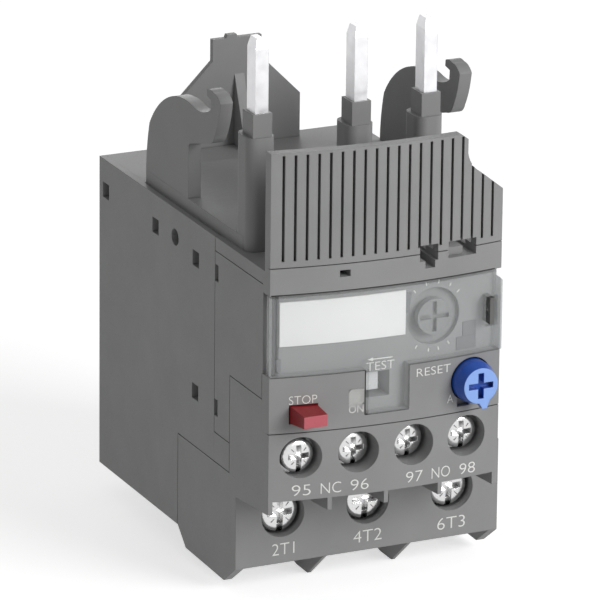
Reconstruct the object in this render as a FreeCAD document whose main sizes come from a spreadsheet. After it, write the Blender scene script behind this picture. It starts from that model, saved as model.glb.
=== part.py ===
import FreeCAD, Part
import math
import operator
import os
import Sketcher

# Thermal overload relay: a moulded housing that hangs under a contactor by three line pins,
# two side hooks and a latch plate.  Current heats three bimetal strips, whose tips push two
# slide bars, which turn a crank that lifts the contact carrier.
#
# Frame: X to the right, Y towards the back, Z up.  Pieces are drawn from a corner datum
# (X = 0 in the middle of the housing, Y = 0 at the front unit's left edge, Z = 0 at the
# housing's bottom) and are then moved so that the origin is the centre of the base of the
# bounding box.

SIZES = (
    # housing
    ("module_width", 45.0), ("housing_depth", 64.5), ("housing_height", 51.6),
    ("housing_front", 20.0), ("housing_wall", 1.5), ("side_cover_wall", 1.1),
    ("shoulder_front", 14.3), ("phase_wall", 1.2), ("phase_pitch", 14.5),
    # front unit
    ("front_width", 38.25), ("front_bulge", 1.8), ("front_skew", 1.27),
    ("front_wall_back", 3.4), ("front_side_wall", 1.6), ("front_roof", 1.4),
    ("front_shelf", 19.9), ("cheek_rise", 4.96), ("cheek_front", 2.5),
    ("strip_rise", 0.75), ("cover_height", 12.94), ("cover_rise", 9.2),
    ("block_rise", 3.97), ("seat_depth", 1.6), ("piece_gap", 0.15),
    ("seam_width", 0.14), ("seam_depth", 0.5), ("roof_seam", 2.3),
    # hood
    ("hood_height", 18.15), ("hood_wall", 1.8), ("hood_step", 9.35), ("hood_step_drop", 3.1),
    ("hood_slope_start", 11.6), ("hood_slope_drop", 6.4), ("hood_end_drop", 9.7),
    ("hood_slope_round", 4.6), ("hood_bevel_width", 1.2), ("hood_bevel_height", 0.9),
    ("rib_pitch", 1.812), ("rib_groove", 0.42), ("rib_groove_depth", 0.8),
    ("rib_first", 1.93), ("rib_margin_low", 1.1), ("rib_margin_high", 0.4),
    # control terminals
    ("control_pitch", 9.15), ("control_row_centre", 3.77), ("control_row_height", 21.97),
    ("control_bore", 3.3), ("control_head", 2.7), ("control_floor", 15.1),
    ("control_leg", 0.7), ("control_leg_low", 13.1), ("control_leg_rear", 12.0),
    ("control_clamp_front", 1.6), ("control_clamp_back", 13.4), ("control_clamp_half", 3.3),
    ("control_clamp_drop", 3.0), ("control_clamp_rise", 2.0), ("control_clamp_hole", 1.5),
    ("control_head_tall", 1.9), ("control_shank", 1.45), ("control_shank_length", 3.2),
    ("control_slot", 0.8),
    # main terminals
    ("main_front", 11.7), ("main_back", 33.5), ("main_top", 15.1), ("main_row_height", 7.95),
    ("main_bore", 3.65), ("main_head", 3.3), ("keel_wall", 1.4), ("keel_low", 3.15),
    ("keel_front", 15.95), ("keel_back", 30.4), ("barrier_wall", 0.6), ("barrier_low", 4.7),
    ("barrier_front", 17.3), ("main_clamp_front", 14.9), ("main_clamp_back", 24.6),
    ("main_clamp_half", 4.1), ("main_clamp_low", 3.6), ("main_clamp_hole", 2.0),
    ("main_head_tall", 2.2), ("main_shank", 1.9), ("main_shank_length", 2.6), ("main_slot", 0.9),
    ("clamp_wall", 1.0), ("clamp_nut", 1.5), ("screw_slot_depth", 0.9), ("fit", 0.1),
    # mounting frame, hooks and latch
    ("frame_front", 12.4), ("frame_back", 48.9), ("frame_plate", 2.1), ("frame_half", 21.3),
    ("hook_wall", 2.1), ("column_half", 2.3), ("column_front", 10.4), ("column_back", 15.8),
    ("column_top", 69.6), ("column_round", 1.6), ("collar_half", 1.6), ("collar_front", 10.75),
    ("collar_back", 14.5), ("collar_top", 73.3), ("latch_back", 62.6), ("latch_wall", 1.0),
    ("latch_half", 11.1), ("latch_shoulder", 58.9), ("latch_neck", 65.75), ("latch_head", 4.25),
    ("latch_top", 69.35), ("gusset_wall", 1.7), ("gusset_foot", 4.5), ("gusset_top", 63.3),
    # line pins
    ("pin_one", 18.97), ("pin_two", 2.46), ("pin_three", 9.27), ("pin_front", 11.1),
    ("pin_width", 2.2), ("pin_depth", 3.0), ("pin_top", 84.9), ("pin_taper", 1.5),
    ("pin_fit", 0.03), ("pin_shoulder", 0.12), ("strap_height", 47.4), ("strap_wall", 1.2),
    ("strap_drop_front", 38.5),
    ("heater_lead_height", 36.0), ("lead_gap", 0.4),
    # bimetals and heaters
    ("bimetal_foot", 12.0), ("bimetal_top", 45.8), ("bimetal_wall", 0.9), ("bimetal_front", 42.0),
    ("bimetal_width", 5.0), ("bimetal_roll", 0.8), ("load_strap_half", 3.0), ("load_strap_low", 2.4),
    ("heater_low", 16.0), ("heater_high", 38.0), ("heater_turns", 4.0),
    ("heater_ribbon", 1.7), ("heater_wall", 0.5), ("heater_sleeve", 0.6),
    # slide bars and trip crank
    ("bar_height", 42.6), ("bar_wall", 1.0), ("bar_spacing", 1.4), ("bar_half", 18.0),
    ("bar_front", 40.6), ("bar_back", 49.4), ("bar_play", 0.3), ("bar_travel", 1.5),
    ("crank_across", 12.8), ("crank_rise", 10.06), ("crank_shaft", 1.0), ("shaft_fit", 0.06),
    ("crank_arm", 1.6), ("crank_arm_over", 0.6), ("crank_arm_length", 2.5), ("crank_rear", 33.0),
    ("crank_gap", 0.2), ("crank_front", 9.8), ("lift_arm_end", 7.2), ("lift_arm_wall", 1.8),
    # contacts
    ("contact_travel", 1.15), ("contact_strap_front", 15.0), ("contact_strap_wall", 0.8),
    ("contact_drop", 2.0), ("contact_half", 1.5), ("bridge_wall", 0.6),
    ("bridge_front", 12.4), ("bridge_back", 14.0),
    ("touch_gap", 0.03), ("carrier_gap", 0.1), ("carrier_wall", 1.8), ("contact_reach", 2.1),
    ("carrier_post_half", 1.1), ("carrier_play", 0.2), ("flag_arm_gap", 0.4),
    # operators
    ("stop_across", 17.17), ("stop_rise", 3.08), ("stop_slot_width", 4.5),
    ("stop_slot_tall", 3.05), ("stop_nose", 5.0), ("stop_nose_width", 3.9), ("stop_nose_tall", 1.85),
    ("stop_nose_shift", 0.19),
    ("stop_stem", 1.0), ("stop_travel", 2.5), ("button_gap", 0.12),
    ("flange_wall", 1.0), ("flange_rim", 0.7), ("stem_end", 0.3), ("seat_post_half", 2.2),
    ("seat_post_wall", 1.0),
    ("reset_across", 10.6), ("reset_rise", 5.06), ("reset_bore", 3.55), ("knob_radius", 3.35),
    ("knob_face", 2.85), ("knob_nose", 5.4), ("knob_back", 1.0), ("stem_radius", 1.5),
    ("knob_bevel", 2.0), ("reset_travel", 2.0), ("reset_boss", 1.2), ("pointer_reach", 3.75),
    ("pointer_depth", 1.2), ("slot_width", 0.95), ("slot_depth", 1.0),
    ("dial_across", 4.55), ("dial_rise", 6.56), ("dial_radius", 2.85), ("dial_well", 4.55),
    ("dial_nose", 1.25), ("dial_wall", 1.1), ("dial_slot", 0.7), ("dial_slot_depth", 0.6),
    ("dial_shaft", 1.2), ("cam_radius", 2.4), ("cam_throw", 0.6), ("cam_wall", 2.5),
    ("test_left", 7.07), ("test_width", 4.32), ("test_rise", 4.06), ("test_tall", 4.07),
    ("test_block", 2.6), ("test_travel", 1.0), ("test_face", -0.1), ("test_foot", 1.0),
    ("flag_left", 10.06), ("flag_width", 2.45), ("flag_rise", 3.69), ("flag_tall", 2.53),
    ("flag_face", 1.1), ("flag_wall", 0.8), ("flag_margin", 0.6),
    # clear cover and label
    ("cover_proud", 0.7), ("cover_wall", 1.0), ("hinge_inset", 0.95), ("hinge_back", 1.0),
    ("hinge_barrel", 0.85), ("hinge_pin", 0.4), ("hinge_web", 0.5), ("pin_seat", 1.2),
    ("tab_left", 7.35), ("tab_width", 7.1), ("tab_rise", 2.06), ("cover_bevel_width", 1.1),
    ("cover_bevel_height", 1.7), ("cover_lip", 0.8),
    ("label_width", 20.1), ("label_tall", 7.05), ("label_left", 20.4), ("label_rise", 4.36),
    ("label_wall", 0.3),
    ("seal_across", 13.75), ("seal_rise", 4.46), ("seal_tall", 4.2), ("seal_wall", 0.8),
    ("seal_slot", 2.1), ("seal_proud", 0.85), ("seal_hole", 0.5), ("seal_eye", 1.45),
    # springs
    ("spring_wire", 0.22), ("spring_turns", 3.0), ("spring_chords", 8),
    ("stop_spring_radius", 1.45), ("reset_spring_radius", 1.95), ("stop_spring_length", 6.0),
    ("reset_spring_length", 4.6),
    # snap windows of the side cover and openings of the strip
    ("window_tall", 2.5), ("window_deep", 2.4), ("rear_window", 40.7), ("roof_window_drop", 5.1),
    ("middle_window", 21.3), ("front_window", 5.95), ("front_window_drop", 5.8),
    ("low_window", 24.1), ("eye_back", 15.0), ("eye_drop", 4.65), ("eye_radius", 1.35),
    ("snap_slot_tall", 2.7), ("snap_slot_high", 1.35), ("snap_slot_drop", 5.7),
    ("vent_left", 11.75), ("vent_width", 1.7), ("vent_drop", 2.0), ("vent_tall", 1.05),
    ("vent_back", 6.0), ("notch_left", 1.3), ("notch_width", 3.1), ("notch_drop", 1.15),
    ("notch_rise", 1.4), ("slit_left", 2.25), ("slit_width", 1.65), ("slit_drop", 2.3),
    ("ledge_left", 6.2), ("ledge_width", 4.85), ("ledge_drop", 1.2), ("ledge_dark", 1.8),
    ("ledge_front", 0.9), ("strip_hole_back", 8.0),
    # hook outline
    ("hook_unit", 1.0),
)

# Levels that follow from the sizes above, in the order in which they build on each other.
LEVELS = (
    ("block_top", "control_row_height + block_rise"),
    ("cheek_top", "block_top + cheek_rise"),
    ("cover_bottom", "block_top + cover_rise"),
    ("cover_top", "cover_bottom + cover_height"),
    ("strip_top", "housing_height + strip_rise"),
    ("hood_top", "strip_top + hood_height"),
    ("hood_step_low", "hood_top - hood_step_drop"),
    ("hood_slope_high", "hood_top - hood_slope_drop"),
    ("hood_end", "hood_top - hood_end_drop"),
    ("stop_height", "block_top + stop_rise"),
    ("reset_height", "block_top + reset_rise"),
    ("test_low", "block_top + test_rise"),
    ("flag_low", "block_top + flag_rise"),
    ("tab_low", "block_top + tab_rise"),
    ("dial_height", "cover_bottom + dial_rise"),
    ("label_low", "cover_bottom + label_rise"),
    ("seal_low", "cover_bottom + seal_rise"),
    ("crank_height", "block_top + crank_rise"),
    ("contact_height", "crank_height - contact_drop"),
    ("carrier_low", "crank_height + crank_arm / 2 + carrier_gap"),
    ("crank_arm_rise", "bar_height + bar_wall + crank_arm_over - crank_height"),
)

SYMBOLS = {"+": operator.add, "-": operator.sub, "*": operator.mul, "/": operator.truediv}


class Term:
    """A length: its formula in the sheet's names together with its present value."""

    def __init__(self, text, value):
        self.text = text
        self.value = value

    def joined(self, symbol, other, turned=False):
        """Return this term and another joined by one arithmetic symbol."""
        left, right = (term(other), self) if turned else (self, term(other))
        text = "({} {} {})".format(left.text, symbol, right.text)
        return Term(text, SYMBOLS[symbol](left.value, right.value))

    def __add__(self, other):
        return self.joined("+", other)

    def __radd__(self, other):
        return self.joined("+", other, True)

    def __sub__(self, other):
        return self.joined("-", other)

    def __rsub__(self, other):
        return self.joined("-", other, True)

    def __mul__(self, other):
        return self.joined("*", other)

    def __rmul__(self, other):
        return self.joined("*", other, True)

    def __truediv__(self, other):
        return self.joined("/", other)

    def __rtruediv__(self, other):
        return self.joined("/", other, True)

    def __neg__(self):
        return self.joined("*", -1.0)


def term(size):
    """Return a size as a Term, whatever it was."""
    if isinstance(size, Term):
        return size
    return Term("({:.6f})".format(float(size)), float(size))


def root(size):
    """Return the square root of a size."""
    return Term("sqrt({})".format(size.text), math.sqrt(size.value))


class Sheet:
    """The spreadsheet of sizes and levels, read by alias as attributes."""

    def __init__(self, document, sizes, levels):
        self.cells = document.addObject("Spreadsheet::Sheet", "Sizes")
        rows = [(alias, str(value)) for alias, value in sizes]
        rows += [(alias, "=" + formula) for alias, formula in levels]
        for number, (alias, content) in enumerate(rows, start=1):
            self.cells.set("A{}".format(number), alias)
            self.cells.set("B{}".format(number), content)
            self.cells.setAlias("B{}".format(number), alias)
        document.recompute()

    def __getattr__(self, alias):
        return Term("Sizes." + alias, float(self.cells.get(alias)))


DOC = FreeCAD.newDocument("overload_relay")
S = Sheet(DOC, SIZES, LEVELS)
PARTS = []
CORNERS = {}

# Derived places that several pieces share.
LEFT = -S.module_width / 2
RIGHT = S.module_width / 2
FRONT_RIGHT = LEFT + S.front_width
CHORD = root(S.front_width * S.front_width + S.front_skew * S.front_skew)
ARC_RADIUS = CHORD * CHORD / (8 * S.front_bulge) + S.front_bulge / 2
ARC_X = LEFT + S.front_width / 2 + (ARC_RADIUS - S.front_bulge) * S.front_skew / CHORD
ARC_Y = -S.front_skew / 2 + (ARC_RADIUS - S.front_bulge) * S.front_width / CHORD
ORIGIN_Y = (S.housing_depth - S.knob_nose) / 2
ORIGIN_Z = S.barrier_low
REACH = 8.0


def bind(item, name, size):
    """Tie one property of a document object to a size."""
    item.setExpression(name, term(size).text)


def settle(item, corner):
    """Put an object's own placement at a corner and remember it for the final move."""
    CORNERS[item.Name] = corner
    for axis, size in zip("xyz", corner):
        bind(item, "Placement.Base." + axis, size)


def block(x, y, z):
    """Return a box between two limits on each axis."""
    item = DOC.addObject("Part::Box", "block")
    for name, (low, high) in zip(("Length", "Width", "Height"), (x, y, z)):
        bind(item, name, term(high) - low)
    settle(item, (x[0], y[0], z[0]))
    return item


def turned(item, axis, centre, start):
    """Lay a round object along an axis, its centre on the other two."""
    places = {
        "X": ((start, centre[0], centre[1]), FreeCAD.Rotation(FreeCAD.Vector(0, 1, 0), 90)),
        "Y": ((centre[0], start, centre[1]), FreeCAD.Rotation(FreeCAD.Vector(1, 0, 0), -90)),
        "Z": ((centre[0], centre[1], start), FreeCAD.Rotation()),
    }
    corner, rotation = places[axis]
    item.Placement = FreeCAD.Placement(FreeCAD.Vector(), rotation)
    settle(item, corner)
    return item


def rod(axis, centre, radius, span):
    """Return a cylinder along an axis between two limits."""
    item = DOC.addObject("Part::Cylinder", "rod")
    bind(item, "Radius", radius)
    bind(item, "Height", term(span[1]) - span[0])
    return turned(item, axis, centre, span[0])


def cone(axis, centre, radii, span):
    """Return a cone along an axis, from the first radius to the second."""
    item = DOC.addObject("Part::Cone", "cone")
    bind(item, "Radius1", radii[0])
    bind(item, "Radius2", radii[1])
    bind(item, "Height", term(span[1]) - span[0])
    return turned(item, axis, centre, span[0])


def wedge(y, front_x, front_z, back_x, back_z):
    """Return a block that tapers from a front rectangle to a back one."""
    item = DOC.addObject("Part::Wedge", "wedge")
    names = ("Ymin", "Ymax", "Xmin", "Xmax", "Zmin", "Zmax", "X2min", "X2max", "Z2min", "Z2max")
    limits = (*y, *front_x, *front_z, *back_x, *back_z)
    for name, size in zip(names, limits):
        bind(item, name, size)
    settle(item, (0, 0, 0))
    return item


def joined(*items):
    """Return the union of several objects."""
    item = DOC.addObject("Part::MultiFuse", "joined")
    item.Shapes = list(items)
    item.Refine = True
    return item


def shared(*items):
    """Return the common part of several objects."""
    item = DOC.addObject("Part::MultiCommon", "shared")
    item.Shapes = list(items)
    return item


def cut(base, *tools):
    """Return an object with one or more tools taken away."""
    item = DOC.addObject("Part::Cut", "cut")
    item.Base = base
    item.Tool = tools[0] if len(tools) == 1 else joined(*tools)
    return item


def group(*items):
    """Return several separate solids as one object."""
    item = DOC.addObject("Part::Compound", "group")
    item.Links = list(items)
    return item


def origin_plane(body, role):
    """Return one of a body's own origin planes."""
    return next(plane for plane in body.Origin.OriginFeatures if plane.Role == role)


def arc_centre(start, end, radius, side):
    """Return the centre of an arc between two points; side +1 turns left along it."""
    across = (end - start)
    rise = math.sqrt(max(radius ** 2 - (across.Length / 2) ** 2, 0.0))
    normal = FreeCAD.Vector(-across.y, across.x, 0).normalize()
    return (start + end) / 2 + normal * rise * side


def outline(sketch, corners):
    """Draw a closed outline; a corner with a radius and a side is reached by an arc."""
    points = [FreeCAD.Vector(term(c[0]).value, term(c[1]).value, 0) for c in corners]
    ends = []
    for index, corner in enumerate(corners):
        start, end = points[index - 1], points[index]
        if len(corner) == 2:
            ends.append((sketch.addGeometry(Part.LineSegment(start, end), False), 1, 2))
            continue
        radius, side = term(corner[2]), corner[3]
        middle = arc_centre(start, end, radius.value, side)
        first, last = (start, end) if side > 0 else (end, start)
        angles = [math.atan2(p.y - middle.y, p.x - middle.x) for p in (first, last)]
        circle = Part.Circle(middle, FreeCAD.Vector(0, 0, 1), radius.value)
        number = sketch.addGeometry(Part.ArcOfCircle(circle, *angles), False)
        ends.append((number, 1, 2) if side > 0 else (number, 2, 1))
        place = sketch.addConstraint(Sketcher.Constraint("Radius", number, radius.value))
        bind(sketch, "Constraints[{}]".format(place), radius)
    for index, corner in enumerate(corners):
        number, _, last = ends[index]
        after, first, _ = ends[(index + 1) % len(ends)]
        sketch.addConstraint(Sketcher.Constraint("Coincident", number, last, after, first))
        for kind, size in zip(("DistanceX", "DistanceY"), corner):
            rule = Sketcher.Constraint(kind, -1, 1, number, last, term(size).value)
            bind(sketch, "Constraints[{}]".format(sketch.addConstraint(rule)), size)


def prism(plane, corners, start, length):
    """Return a body padded from an outline: XZ outlines grow in +Y, YZ in +X, XY in +Z."""
    body = DOC.addObject("PartDesign::Body", "body")
    sketch = body.newObject("Sketcher::SketchObject", "outline")
    sketch.AttachmentSupport = [(origin_plane(body, plane + "_Plane"), "")]
    sketch.MapMode = "FlatFace"
    along = -term(start) if plane == "XZ" else term(start)
    bind(sketch, "AttachmentOffset.Base.z", along)
    outline(sketch, corners)
    pad = body.newObject("PartDesign::Pad", "pad")
    pad.Profile = sketch
    bind(pad, "Length", length)
    pad.Reversed = plane == "XZ"
    body.Tip = pad
    return body


def rounded(item, radius, wanted):
    """Return an object with the straight edges that a test picks rounded."""
    DOC.recompute()
    chosen = [n for n, edge in enumerate(item.Shape.Edges, start=1) if wanted(edge)]
    fillet = DOC.addObject("Part::Fillet", "rounded")
    fillet.Base = item
    fillet.Edges = [(n, radius.value, radius.value) for n in chosen]
    return fillet


def keep(node, item):
    """Name a finished piece and move it from the corner datum to the final origin."""
    item.Label = node
    corner = CORNERS.get(item.Name, (0, 0, 0))
    shift = (0, -ORIGIN_Y, ORIGIN_Z)
    for axis, size, move in zip("xyz", corner, shift):
        bind(item, "Placement.Base." + axis, term(size) + move)
    PARTS.append(item)
    return item


def front_form(inset=0.0):
    """Return the upright cylinder whose surface is the bowed front, set back by an inset."""
    return rod("Z", (ARC_X, ARC_Y), ARC_RADIUS - inset, (-REACH, S.hood_top + REACH))


def bowed(x, back, z, inset=0.0):
    """Return a block whose front face is the bowed front, set back by an inset."""
    return shared(block(x, (-REACH, back), z), front_form(inset))


def skin(x, z, outer, inner):
    """Return the part of the bowed front between two insets."""
    return cut(bowed(x, S.housing_front, z, outer), front_form(inner))


def side_seam(y, z):
    """Return the tool of a parting line on the left side."""
    return block((LEFT - 1, LEFT + S.seam_depth), y, z)


def front_seam(low, right=FRONT_RIGHT):
    """Return the tool of a level parting line across the bowed front, above a height."""
    bar = block((LEFT - 1, right + 1), (-REACH, S.shoulder_front), (low, low + S.seam_width))
    return cut(bar, front_form(S.seam_depth))


def phase_places():
    """Return the X place of each of the three phases."""
    return (-S.phase_pitch, term(0.0), S.phase_pitch)


def control_places():
    """Return the X place of each of the four control terminals."""
    return [S.control_pitch * step - S.control_row_centre for step in (-1.5, -0.5, 0.5, 1.5)]


def pin_places():
    """Return the X place of each of the three line pins."""
    return (-S.pin_one, -S.pin_two, S.pin_three)


# ---------------------------------------------------------------- housing

def side_cover():
    """The left side plate of the housing, with its snap windows and parting lines."""
    inside = LEFT + S.side_cover_wall
    across = (LEFT - 1, inside + 1)
    front, top = S.housing_front, S.housing_height
    plate = block((LEFT, inside), (front, S.housing_depth), (0, top))
    corner = block(across, (0, S.main_back), (-1, S.main_top))
    places = (
        (S.rear_window, top - S.roof_window_drop), (S.middle_window, top - S.roof_window_drop),
        (S.front_window, top - S.front_window_drop), (S.front_window, S.low_window),
    )
    windows = []
    for back, middle in places:
        windows.append(block(across, (front + back, front + back + S.window_deep),
                             (middle - S.window_tall / 2, middle + S.window_tall / 2)))
    eye = rod("X", (front + S.eye_back, top - S.eye_drop), S.eye_radius, across)
    seams = [
        side_seam((S.main_back, S.main_back + S.seam_width), (0, S.main_top)),
        side_seam((front, S.main_back), (S.main_top, S.main_top + S.seam_width)),
        block((inside - S.seam_width, inside), (front, S.frame_back), (top - S.seam_depth, top + 1)),
    ]
    keep("side_cover", cut(plate, corner, eye, *windows, *seams))


def main_housing():
    """The rear shell: three bimetal chambers, open on the side that the side cover closes."""
    inner_left = LEFT + S.side_cover_wall
    inner_right = RIGHT - S.housing_wall
    ledge = S.main_top + S.housing_wall
    rear = (S.main_back + S.housing_wall, S.housing_depth - S.housing_wall)
    shell = joined(
        block((inner_left, RIGHT), (S.housing_front, S.housing_depth), (0, S.housing_height)),
        block((FRONT_RIGHT + S.piece_gap, RIGHT), (S.shoulder_front, S.housing_front),
              (S.main_top, S.housing_height)),
        block((LEFT, RIGHT), (S.shoulder_front, S.housing_front), (S.main_top, S.front_shelf)),
    )
    high = (ledge, S.housing_height - S.housing_wall)
    hollow = cut(
        shell,
        block((LEFT - 1, RIGHT + 1), (0, S.main_back), (-1, S.main_top)),
        block((inner_left - 1, inner_right),
              (S.housing_front + S.housing_wall, rear[1]), high),
        block((inner_left - 1, inner_right), rear, (S.housing_wall, ledge + 1)),
    )
    walls = []
    for side in (-1, 1):
        middle = side * S.phase_pitch / 2
        across = (middle - S.phase_wall / 2, middle + S.phase_wall / 2)
        walls.append(block(across, (S.housing_front, S.housing_depth - 1), high))
        walls.append(block(across, (S.main_back + 1, S.housing_depth - 1), (1, ledge + 1)))
    bar_space = (S.bar_height - S.crank_arm_over,
                 S.bar_height + S.bar_wall + S.bar_spacing + S.crank_arm_over)
    gap = block((LEFT + 2, RIGHT - S.housing_wall),
                (S.bar_front - S.crank_arm_over, S.bar_back + S.crank_arm_over), bar_space)
    shaft = rod("Y", (S.crank_across, S.crank_height), S.crank_shaft + S.shaft_fit,
                (0, S.housing_front + S.housing_wall + 1))
    slots = []
    for place in pin_places():
        slots.append(block((place - S.pin_width / 2 - S.fit, place + S.pin_width / 2 + S.fit),
                           (0, S.housing_front + S.housing_wall + 1),
                           (S.strap_height - S.fit, S.strap_height + S.strap_wall + S.fit)))
    wide = S.load_strap_half + S.fit
    for place in phase_places():
        slots.append(block((place - wide, place + wide), (S.main_back - 1, rear[0] + 1),
                           (S.bimetal_foot - S.strap_wall - S.fit, S.bimetal_foot + S.fit)))
    seam = side_seam((S.shoulder_front, S.housing_front), (S.main_top, S.main_top + S.seam_width))
    keep("main_housing", cut(joined(hollow, *walls), gap, shaft, seam, *slots))


def front_housing():
    """The bowed front unit: name strip, cover seat and the panel of the operators."""
    across = (LEFT, FRONT_RIGHT)
    solid = joined(
        block(across, (-REACH, S.housing_front), (S.cheek_top, S.housing_height)),
        block(across, (-REACH, S.hood_wall), (S.cheek_top, S.strip_top)),
        block(across, (-REACH, S.cheek_front), (S.block_top, S.cheek_top + 1)),
        block(across, (S.shoulder_front, S.housing_front), (S.front_shelf, S.cheek_top + 1)),
    )
    inner = (LEFT + S.front_side_wall, FRONT_RIGHT - S.front_side_wall)
    hollow = block(inner, (S.front_wall_back, S.housing_front - S.housing_wall),
                   (S.front_shelf - 1, S.housing_height - S.front_roof))
    seat = cut(block((LEFT - 1, FRONT_RIGHT + 1), (-REACH, S.housing_front - 2),
                     (S.cover_bottom, S.cover_top)), front_form(S.seat_depth))
    tab = (-S.tab_left, S.tab_width - S.tab_left)
    tab_seat = cut(block(tab, (-REACH, S.front_wall_back), (S.tab_low, S.cover_bottom + 1)),
                   front_form(S.seat_depth))
    boss = block((S.reset_across - S.reset_bore - S.stem_end,
                  FRONT_RIGHT - S.front_side_wall - S.fit),
                 (S.front_wall_back - S.fit, S.front_wall_back + S.reset_boss),
                 (S.reset_height - S.reset_bore - S.stem_end,
                  S.reset_height + S.reset_bore + S.stem_end))
    shapes = [seat, tab_seat, hinge_recess(), hinge_bore()]
    shapes += operator_openings() + strip_openings() + snap_slots() + conductor_slots()
    shapes += front_unit_seams()
    shell = joined(cut(shared(solid, front_form()), hollow), boss)
    keep("front_housing", cut(shell, *shapes))


def front_unit_seams():
    """The parting lines between the front unit and its neighbours, on its left and front."""
    width, edge = S.seam_width, S.housing_front
    roof = S.housing_height - S.roof_seam
    return [
        side_seam((edge - width, edge), (S.front_shelf, S.housing_height)),
        side_seam((S.shoulder_front, edge), (S.front_shelf, S.front_shelf + width)),
        side_seam((S.cheek_front, S.shoulder_front), (S.cheek_top, S.cheek_top + width)),
        side_seam((S.cheek_front, S.cheek_front + width), (S.cheek_top, S.cover_bottom)),
        side_seam((S.cheek_front, edge - width), (roof, roof + width)),
        front_seam(S.block_top),
    ]


def hinge_recess():
    """The upright notch at the left edge where the cover's barrel turns."""
    swing = root(S.hinge_web * S.hinge_web
                 + (S.hinge_back + S.fit) * (S.hinge_back + S.fit)) + S.piece_gap
    return block((LEFT - 1, LEFT + 2 * S.hinge_inset + S.piece_gap),
                 (-REACH, S.hinge_back + swing), (S.cover_bottom, S.cover_top))


def hinge_bore():
    """The square socket at each end of the hinge notch that grips the cover's pin."""
    across = (LEFT + S.hinge_inset - S.hinge_pin, LEFT + S.hinge_inset + S.hinge_pin)
    return block(across, (S.hinge_back - S.hinge_pin, S.hinge_back + S.hinge_pin),
                 (S.cover_bottom - S.pin_seat, S.cover_top + S.pin_seat))


def operator_openings():
    """The openings of the stop button, reset knob, dial, test slide and trip flag."""
    stop = block((-S.stop_across - S.stop_slot_width / 2, S.stop_slot_width / 2 - S.stop_across),
                 (-REACH, S.front_wall_back + 1),
                 (S.stop_height - S.stop_slot_tall / 2, S.stop_height + S.stop_slot_tall / 2))
    reset = rod("Y", (S.reset_across, S.reset_height), S.reset_bore,
                (-REACH, S.knob_back + S.reset_travel + S.piece_gap))
    stem = rod("Y", (S.reset_across, S.reset_height), S.stem_radius + S.shaft_fit,
               (-REACH, S.front_wall_back + S.reset_boss + 1))
    detent = block((S.reset_across - 2.4, S.reset_across - 0.2), (-REACH, -0.9),
                   (S.reset_height - 4.1, S.reset_height - 2.5))
    well = rod("Y", (S.dial_across, S.dial_height), S.dial_well, (-REACH, S.dial_nose / 4))
    dial = rod("Y", (S.dial_across, S.dial_height), S.dial_shaft + S.shaft_fit,
               (-REACH, S.front_wall_back + 1))
    test = block((-S.test_left, S.test_width - S.test_left), (-0.9, S.front_wall_back + 1),
                 (S.test_low, S.test_low + S.test_tall))
    flag = (-S.flag_left, S.flag_width - S.flag_left)
    window = block(flag, (-REACH, S.front_wall_back + 1),
                   (S.flag_low, S.flag_low + S.flag_tall))
    pocket = block(flag, (-S.flag_face - 0.05, S.front_wall_back + 1),
                   (S.flag_low - S.flag_margin - S.carrier_play,
                    S.flag_low + S.flag_tall + S.contact_travel + S.flag_margin
                    + S.carrier_play))
    rail = block((-S.test_left - S.test_travel, S.test_width - S.test_left),
                 (S.test_face - S.piece_gap, S.front_wall_back + 1),
                 (S.test_low, S.test_low + S.test_tall))
    return [stop, reset, stem, detent, well, dial, test, rail, window, pocket]


def strip_openings():
    """The small windows in the strip under the hood; all but one shelf look into the dark."""
    strip, deep = S.strip_top, (-REACH, S.strip_hole_back)
    ledge = (S.ledge_left, S.ledge_left + S.ledge_width)
    return [
        block((-S.vent_left, S.vent_width - S.vent_left), (-REACH, S.vent_back),
              (strip - S.vent_drop, strip - S.vent_drop + S.vent_tall)),
        block((S.notch_left, S.notch_left + S.notch_width), deep,
              (strip - S.notch_drop, strip + 1)),
        block((S.slit_left, S.slit_left + S.slit_width), deep, (strip - S.slit_drop, strip)),
        block(ledge, (-REACH, -S.ledge_front), (strip - S.ledge_drop, strip + 1)),
        block((ledge[1] - S.ledge_dark, ledge[1]), deep, (strip - S.ledge_drop, strip + 1)),
    ]


def snap_slots():
    """The two narrow snap slots along the front unit's rear edge, on the left."""
    back = S.housing_front
    across = (LEFT - 1, LEFT + S.front_side_wall + 1)
    slots = []
    for middle in (S.housing_height - S.snap_slot_drop, S.low_window):
        slots.append(block(across, (back - S.snap_slot_high, back - S.seam_width),
                           (middle - S.snap_slot_tall / 2, middle + S.snap_slot_tall / 2)))
    return slots


def conductor_slots():
    """The slots that line pins, pin straps and the crank shaft pass through."""
    slots = []
    for place in pin_places():
        across = (place - S.pin_width / 2 - S.pin_fit, place + S.pin_width / 2 + S.pin_fit)
        slots.append(block(across, (S.pin_front - S.pin_fit, S.pin_front + S.pin_depth + S.pin_fit),
                           (S.strap_height, S.housing_height + 1)))
        slots.append(block(across, (S.pin_front, S.housing_front + 1),
                           (S.strap_height - S.fit, S.strap_height + S.strap_wall + S.fit)))
    half = S.crank_shaft + S.carrier_play
    slots.append(block((S.crank_across - half, S.crank_across + half),
                       (S.front_wall_back + 1, S.housing_front + 1),
                       (S.crank_height - half, S.crank_height + half)))
    return slots


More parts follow.
